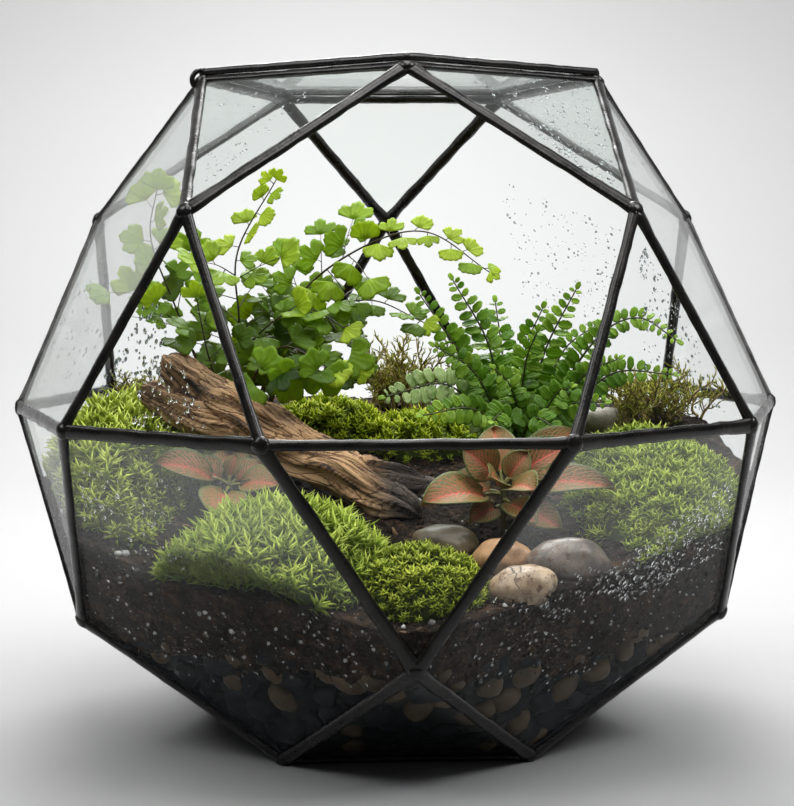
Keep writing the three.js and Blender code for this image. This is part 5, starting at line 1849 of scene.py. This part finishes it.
def make_button_fern():
    greens = [(0.028, 0.085, 0.006), (0.16, 0.34, 0.022), (0.46, 0.68, 0.06)]
    finish = fern_leaf("button_fern_green", *greens, (0.50, 0.80, 0.07), 0.35, 0.38, 26)
    pale = fern_leaf(
        "button_fern_pale", (0.12, 0.25, 0.06), (0.34, 0.52, 0.16), (0.66, 0.80, 0.36),
        (0.50, 0.80, 0.12), 0.3, 0.42, 26,
    )
    stalk = plain_grain("green_brown_stalk", (0.03, 0.035, 0.012), (0.12, 0.14, 0.04), 700, 0.5)
    for name, (root, fronds) in BUTTON_FERN.items():
        draw = random.Random(name)
        leaves, stems = Heap(), Heap()
        longest = SHORTER_LEAFLETS.get(name, LEAFLET_LENGTH)
        for order, (stops, shade) in enumerate(fronds):
            is_pale = (name, order) == PALE_FROND
            shapes = CRINKLED_LEAVES if is_pale else ROUND_LEAVES
            line = add_frond_stem(stems, root, stops, 0.8, 0.5)
            length = sum((b - a).length for a, b in zip(line, line[1:]))
            pairs = int(length / (0.6 * longest))
            for k in range(pairs):
                share = 0.14 + 0.86 * k / (pairs - 1)
                at = min(FROND_STEPS - 1, max(1, int(FROND_STEPS * share)))
                ahead = (line[at + 1] - line[at - 1]).normalized()
                facing = Vector((0, -0.8, 0.5)) + Vector((draw.gauss(0, 0.15), 0, 0))
                swell = math.sin(math.pi * min(1, 0.22 + share * 0.8)) ** 0.7
                wide = longest * (0.55 + 0.45 * swell)
                wide *= 1 if share < 0.8 else 1.0 - (share - 0.8) * 1.9
                wide *= 1.15 if is_pale else 1
                for hand in (-1, 1):
                    side = ahead.cross(facing).normalized() * hand
                    way = side * 0.93 + ahead * 0.3 + shake(draw, 0.13)
                    way.y *= 0.6
                    up = facing + shake(draw, 0.28)
                    tint = shade - 0.06 + 0.34 * share ** 2 + draw.gauss(0, 0.11)
                    foot = line[at] + side * 0.5
                    size = wide * draw.uniform(0.85, 1.12)
                    add_leaf(leaves, draw.choice(shapes), foot, way, up, size, tint, int(is_pale))
            tip = (line[-1] - line[-3]).normalized()
            add_leaf(leaves, draw.choice(ROUND_LEAVES), line[-1], tip, Vector((0, -0.7, 0.7)), 3.6, 0.85)
        settle_plant(name, "button_fern", leaves, [finish, pale], 0.3, stems, stalk)


# The nerve plants.
FLAT_FACING = Vector((0, -0.6, 0.8))
LOW_FACING = Vector((0.05, -0.75, 0.6))
TALL_FACING = Vector((-0.1, -0.9, 0.4))
NERVE_PLANTS = {
    "nerve_plant_left": ((-75, -32), 113, [
        (112, (-106, -42, 123), 18, FLAT_FACING), (111, (-79, -62, 101), 20, LOW_FACING),
        (112, (-75, -12, 124), 16, LOW_FACING), (111, (-52, -40, 113), 17, FLAT_FACING),
        (112, (-72, -29, 125), 7, TALL_FACING), (111, (-92, -26, 121), 14, FLAT_FACING),
        (111, (-60, -24, 120), 13, FLAT_FACING),
    ]),
    "nerve_plant_right": ((41, -58), 115, [
        (110, (6, -78, 110), 20, FLAT_FACING), (114, (24, -62, 131), 16, TALL_FACING),
        (113, (53, -80, 115), 16, LOW_FACING), (114, (70, -50, 130), 19, TALL_FACING),
        (112, (87, -66, 114), 17, FLAT_FACING), (114, (39, -40, 137), 17, TALL_FACING),
        (114, (75, -40, 135), 16, TALL_FACING), (110, (17, -46, 113), 16, FLAT_FACING),
        (108, (52, -82, 101), 14, LOW_FACING), (113, (34, -74, 120), 14, LOW_FACING),
        (113, (52, -56, 128), 12, TALL_FACING), (106, (64, -74, 98), 15, LOW_FACING),
        (105, (26, -72, 101), 12, LOW_FACING),
    ]),
}


def add_nerve_leaf(heap, root, tip, width, facing, draw):
    """A broad leaf that arches from its stalk, raised between its veins and folded at its rib."""
    rows, columns = 20, 14
    reach = tip - root
    length = reach.length
    along = reach / length
    side = along.cross(facing).normalized()
    over = side.cross(along)
    points, spread = [], []
    ripple = draw.uniform(0, 6)
    for j in range(rows + 1):
        share = j / rows
        foot = root + reach * share + over * length * 0.14 * 4 * share * (1 - share)
        half = width / 2 * math.sin(math.pi * (0.04 + 0.96 * share ** 0.85)) ** 0.72 + 0.35
        if share > 0.85:
            half *= 1 - ((share - 0.85) / 0.15) ** 2 * 0.35
        for k in range(columns + 1):
            across = 2 * k / columns - 1
            lean = share * 9.5 - abs(across) * 4.5
            quilt = 0.34 * math.sin(FULL_TURN * lean) * (1 - abs(across) ** 3) * min(1, share * 4)
            fold = 0.17 * width * abs(across) ** 1.25
            wave = 0.45 * math.sin(7 * share + ripple + (2 if across > 0 else 0)) * abs(across) ** 3
            point = foot + side * half * across + over * (fold + quilt + wave - 0.10 * width)
            points.append(point)
            spread.append((k / columns, share))
    heap.add(held_off_glass(points), grid_faces(rows, columns), draw.uniform(0.2, 0.85), spread)


def make_nerve_plants():
    leaf = nerve_leaf()
    stalk = plain_grain("nerve_plant_stalk", (0.045, 0.045, 0.016), (0.30, 0.29, 0.075), 500, 0.45)
    for name, ((x, y), top, leaves) in NERVE_PLANTS.items():
        draw = random.Random(name)
        blades, stems = Heap(), Heap()
        root = Vector((x, y, ground_height(x, y) - 1))
        stem = curve_points([root, Vector((x + 0.6, y - 0.5, (root.z + top) / 2)), Vector((x, y, top))], 12)
        add_tube(stems, stem, [1.25] * 12, 10, 0.1)
        for from_height, tip, width, facing in leaves:
            start = Vector((x, y, from_height))
            tip = Vector(tip)
            neck = start.lerp(tip, 0.22)
            neck.z += 1.2
            add_tube(stems, curve_points([start, start.lerp(neck, 0.5) + Vector((0, 0, 0.6)), neck], 8),
                     [0.85 - 0.04 * k for k in range(8)], 7, 0.8)
            add_nerve_leaf(blades, neck, tip, width, facing, draw)
        settle_plant(name, "nerve_plant", blades, [leaf], 0.4, stems, stalk, "_leaves")


# The wiry sprigs at the back.
SPRIGS = {
    "sprigs_rear": ((6, 84), 24, 38, 28), "sprigs_right": ((122, 46), 25, 25, 31),
    "sprigs_left": ((-118, 58), 16, 24, 16),
}


SPRIG_POINTS = 26
FIRST_TWIG = 4
TWIG_SHARE = 0.62
TWIG_POINTS = 5


def make_sprigs():
    stalk = plain_grain("sprig_stalk", (0.13, 0.090, 0.026), (0.42, 0.31, 0.085), 600, 0.6)
    leaf = fern_leaf("sprig_leaf", (0.12, 0.12, 0.016), (0.40, 0.40, 0.048), (0.74, 0.72, 0.12),
                     (0.75, 0.78, 0.10), 0.35, 0.55, 8)
    for name, ((x, y), spread, height, stems) in SPRIGS.items():
        draw = random.Random(name)
        heap = Heap()
        for _ in range(stems):
            base_x = x + draw.gauss(0, spread * 0.4)
            base_y = y + draw.gauss(0, spread * 0.28)
            turn = draw.uniform(0, FULL_TURN)
            lean = spread * draw.uniform(0.2, 0.9)
            tall = height * draw.uniform(0.45, 1.0)
            root = Vector((base_x, base_y, ground_height(base_x, base_y) - 1))
            stops = [root]
            for k in range(1, 5):
                share = k / 4
                stops.append(root + Vector((
                    lean * math.cos(turn) * share ** 1.3 + draw.gauss(0, 1.6),
                    lean * math.sin(turn) * share ** 1.3 + draw.gauss(0, 1.6), tall * share)))
            line = held_off_glass(curve_points(stops, SPRIG_POINTS), GLASS_HALF + 3)
            add_tube(heap, line, [0.85 - 0.022 * k for k in range(SPRIG_POINTS)], 5, draw.random())
            for k in range(FIRST_TWIG, SPRIG_POINTS):
                if draw.random() < TWIG_SHARE:
                    ahead = (line[k] - line[k - 1]).normalized()
                    side = ahead.orthogonal()
                    side.rotate(Quaternion(ahead, draw.uniform(0, FULL_TURN)))
                    way = (side + ahead * 0.7 + Vector((0, 0, 0.3))).normalized()
                    reach = draw.uniform(3.5, 9) * (1.2 - k / 40)
                    twig = held_off_glass(curve_points([
                        line[k], line[k] + way * reach * 0.5,
                        line[k] + way * reach + Vector((0, 0, reach * 0.25)),
                    ], TWIG_POINTS), GLASS_HALF + 2)
                    add_tube(heap, twig, [0.42 - 0.045 * j for j in range(TWIG_POINTS)], 3, draw.random())
                    for spot in twig[1:]:
                        out = shake(draw, 0.8) + way * 0.8
                        out.z += 0.9
                        add_blade(heap, spot, out.normalized(), out.orthogonal().normalized(),
                                  draw.uniform(2.2, 4.2), 0.75, 0.4, (0.25, draw.uniform(0.4, 1.0)), 1)
        piece = new_piece(name + "_twigs", heap, [stalk, leaf])
        settle(piece, "sprigs", name)


# Water on the inner side of the glass.
DROP_PATCHES = [
    # (corners of a region of the photograph, count, least and most radius, near side, and whether the drops
    # are tinted grey as painted shade)
    ([(585, 590), (735, 480), (735, 545), (640, 605)], 430, (0.3, 1.2), True, False),
    ([(520, 610), (600, 560), (640, 590), (560, 620)], 80, (0.3, 0.9), True, False),
    ([(470, 75), (595, 85), (628, 200), (560, 150)], 400, (0.25, 0.75), True, True),
    ([(205, 85), (330, 80), (230, 160), (205, 180)], 100, (0.25, 0.7), True, True),
    ([(112, 312), (170, 300), (158, 375), (98, 402)], 130, (0.35, 1.0), True, True),
    ([(140, 360), (178, 355), (210, 432), (130, 430)], 75, (0.4, 1.15), True, False),
    ([(48, 300), (110, 260), (95, 390), (35, 400)], 170, (0.25, 0.8), True, True),
    ([(500, 180), (625, 230), (600, 330), (520, 300)], 230, (0.25, 0.7), False, True),
    ([(640, 250), (668, 240), (745, 415), (650, 410)], 260, (0.25, 0.75), True, True),
    ([(70, 470), (180, 480), (185, 575), (90, 590)], 140, (0.3, 1.1), True, False),
    ([(610, 90), (640, 110), (690, 215), (640, 200)], 80, (0.25, 0.8), True, True),
    ([(290, 600), (400, 640), (420, 690), (330, 690)], 60, (0.25, 0.7), True, False),
    ([(440, 600), (560, 600), (600, 690), (470, 700)], 110, (0.25, 0.8), True, False),
    ([(100, 590), (250, 620), (260, 700), (150, 690)], 90, (0.25, 0.8), True, False),
]


def drop_shape():
    """A flattened bead, whose flat foot rests on the glass."""
    heap = Heap()
    rings = [(0.8, 0), (1.0, 0.2), (0.62, 0.56)]
    sides = 7
    points = [
        Vector((
            radius * math.cos(FULL_TURN * k / sides),
            radius * math.sin(FULL_TURN * k / sides),
            rise,
        ))
        for radius, rise in rings for k in range(sides)
    ]
    points.append(Vector((0, 0, 0.67)))
    faces = [tuple(range(sides))[::-1]] + ring_faces(len(rings), sides)
    last = (len(rings) - 1) * sides
    faces += [(last + k, last + (k + 1) % sides, len(points) - 1) for k in range(sides)]
    heap.add(points, faces)
    return heap


# Panes seen more edge on than this carry no drops, and the seams keep this much of a pane clear.
LEAST_SLANT = 0.04
SEAM_ROOM = 4


def on_a_pane(across, down, near_side):
    """Where the sight line through a pixel meets a pane, on the vessel's near or far side."""
    way = sight_line(across, down)
    for name in GLAZED:
        face = FACES[name]
        facing = face.normal.dot(way)
        if (facing < -LEAST_SLANT) == near_side and abs(facing) > LEAST_SLANT:
            reach = face.normal.dot(face.middle - CAMERA_PLACE) / facing
            place = CAMERA_PLACE + way * reach
            if face.depth_inside(place) > SEAM_ROOM:
                return face, place
    return None, None


def make_drops():
    draw = random.Random(8)
    bead = drop_shape()
    heap = Heap()
    for corners, count, (least, most), near_side, drops_painted_grey in DROP_PATCHES:
        for _ in range(count):
            a, b = draw.random(), draw.random()
            top = [corners[0][n] + (corners[1][n] - corners[0][n]) * a for n in (0, 1)]
            low = [corners[3][n] + (corners[2][n] - corners[3][n]) * a for n in (0, 1)]
            across, down = (start + (end - start) * b for start, end in zip(top, low))
            face, place = on_a_pane(across, down, near_side)
            if face is None:
                continue
            place = place - face.normal * (GLASS_HALF - 0.02)
            size = least + (most - least) * draw.random() ** 2.6
            along = Vector((draw.gauss(0, 0.3), draw.gauss(0, 0.3), -1))
            turn = frame_matrix(place, along - face.normal * along.dot(face.normal), -face.normal, size)
            stretch = draw.uniform(1.0, 1.7)
            points = [turn @ Vector((point.x, point.y * stretch, point.z)) for point in bead.points]
            # The grey drop finish is painted shade.
            heap.add(points, bead.faces, finish=int(drops_painted_grey))
    piece = new_piece("water_drops", heap, [WATER, PAINTED_SHADE_WATER])
    settle(piece, "glass")


set_camera()
set_stage()
glaze()
make_seams()
make_band()
make_gravel()
make_soil()
make_soil_bits()
make_driftwood()
make_stones()
for moss_name, moss_details in MOSSES.items():
    make_moss(moss_name, moss_details)
make_maidenhair()
make_button_fern()
make_nerve_plants()
make_sprigs()
make_drops()
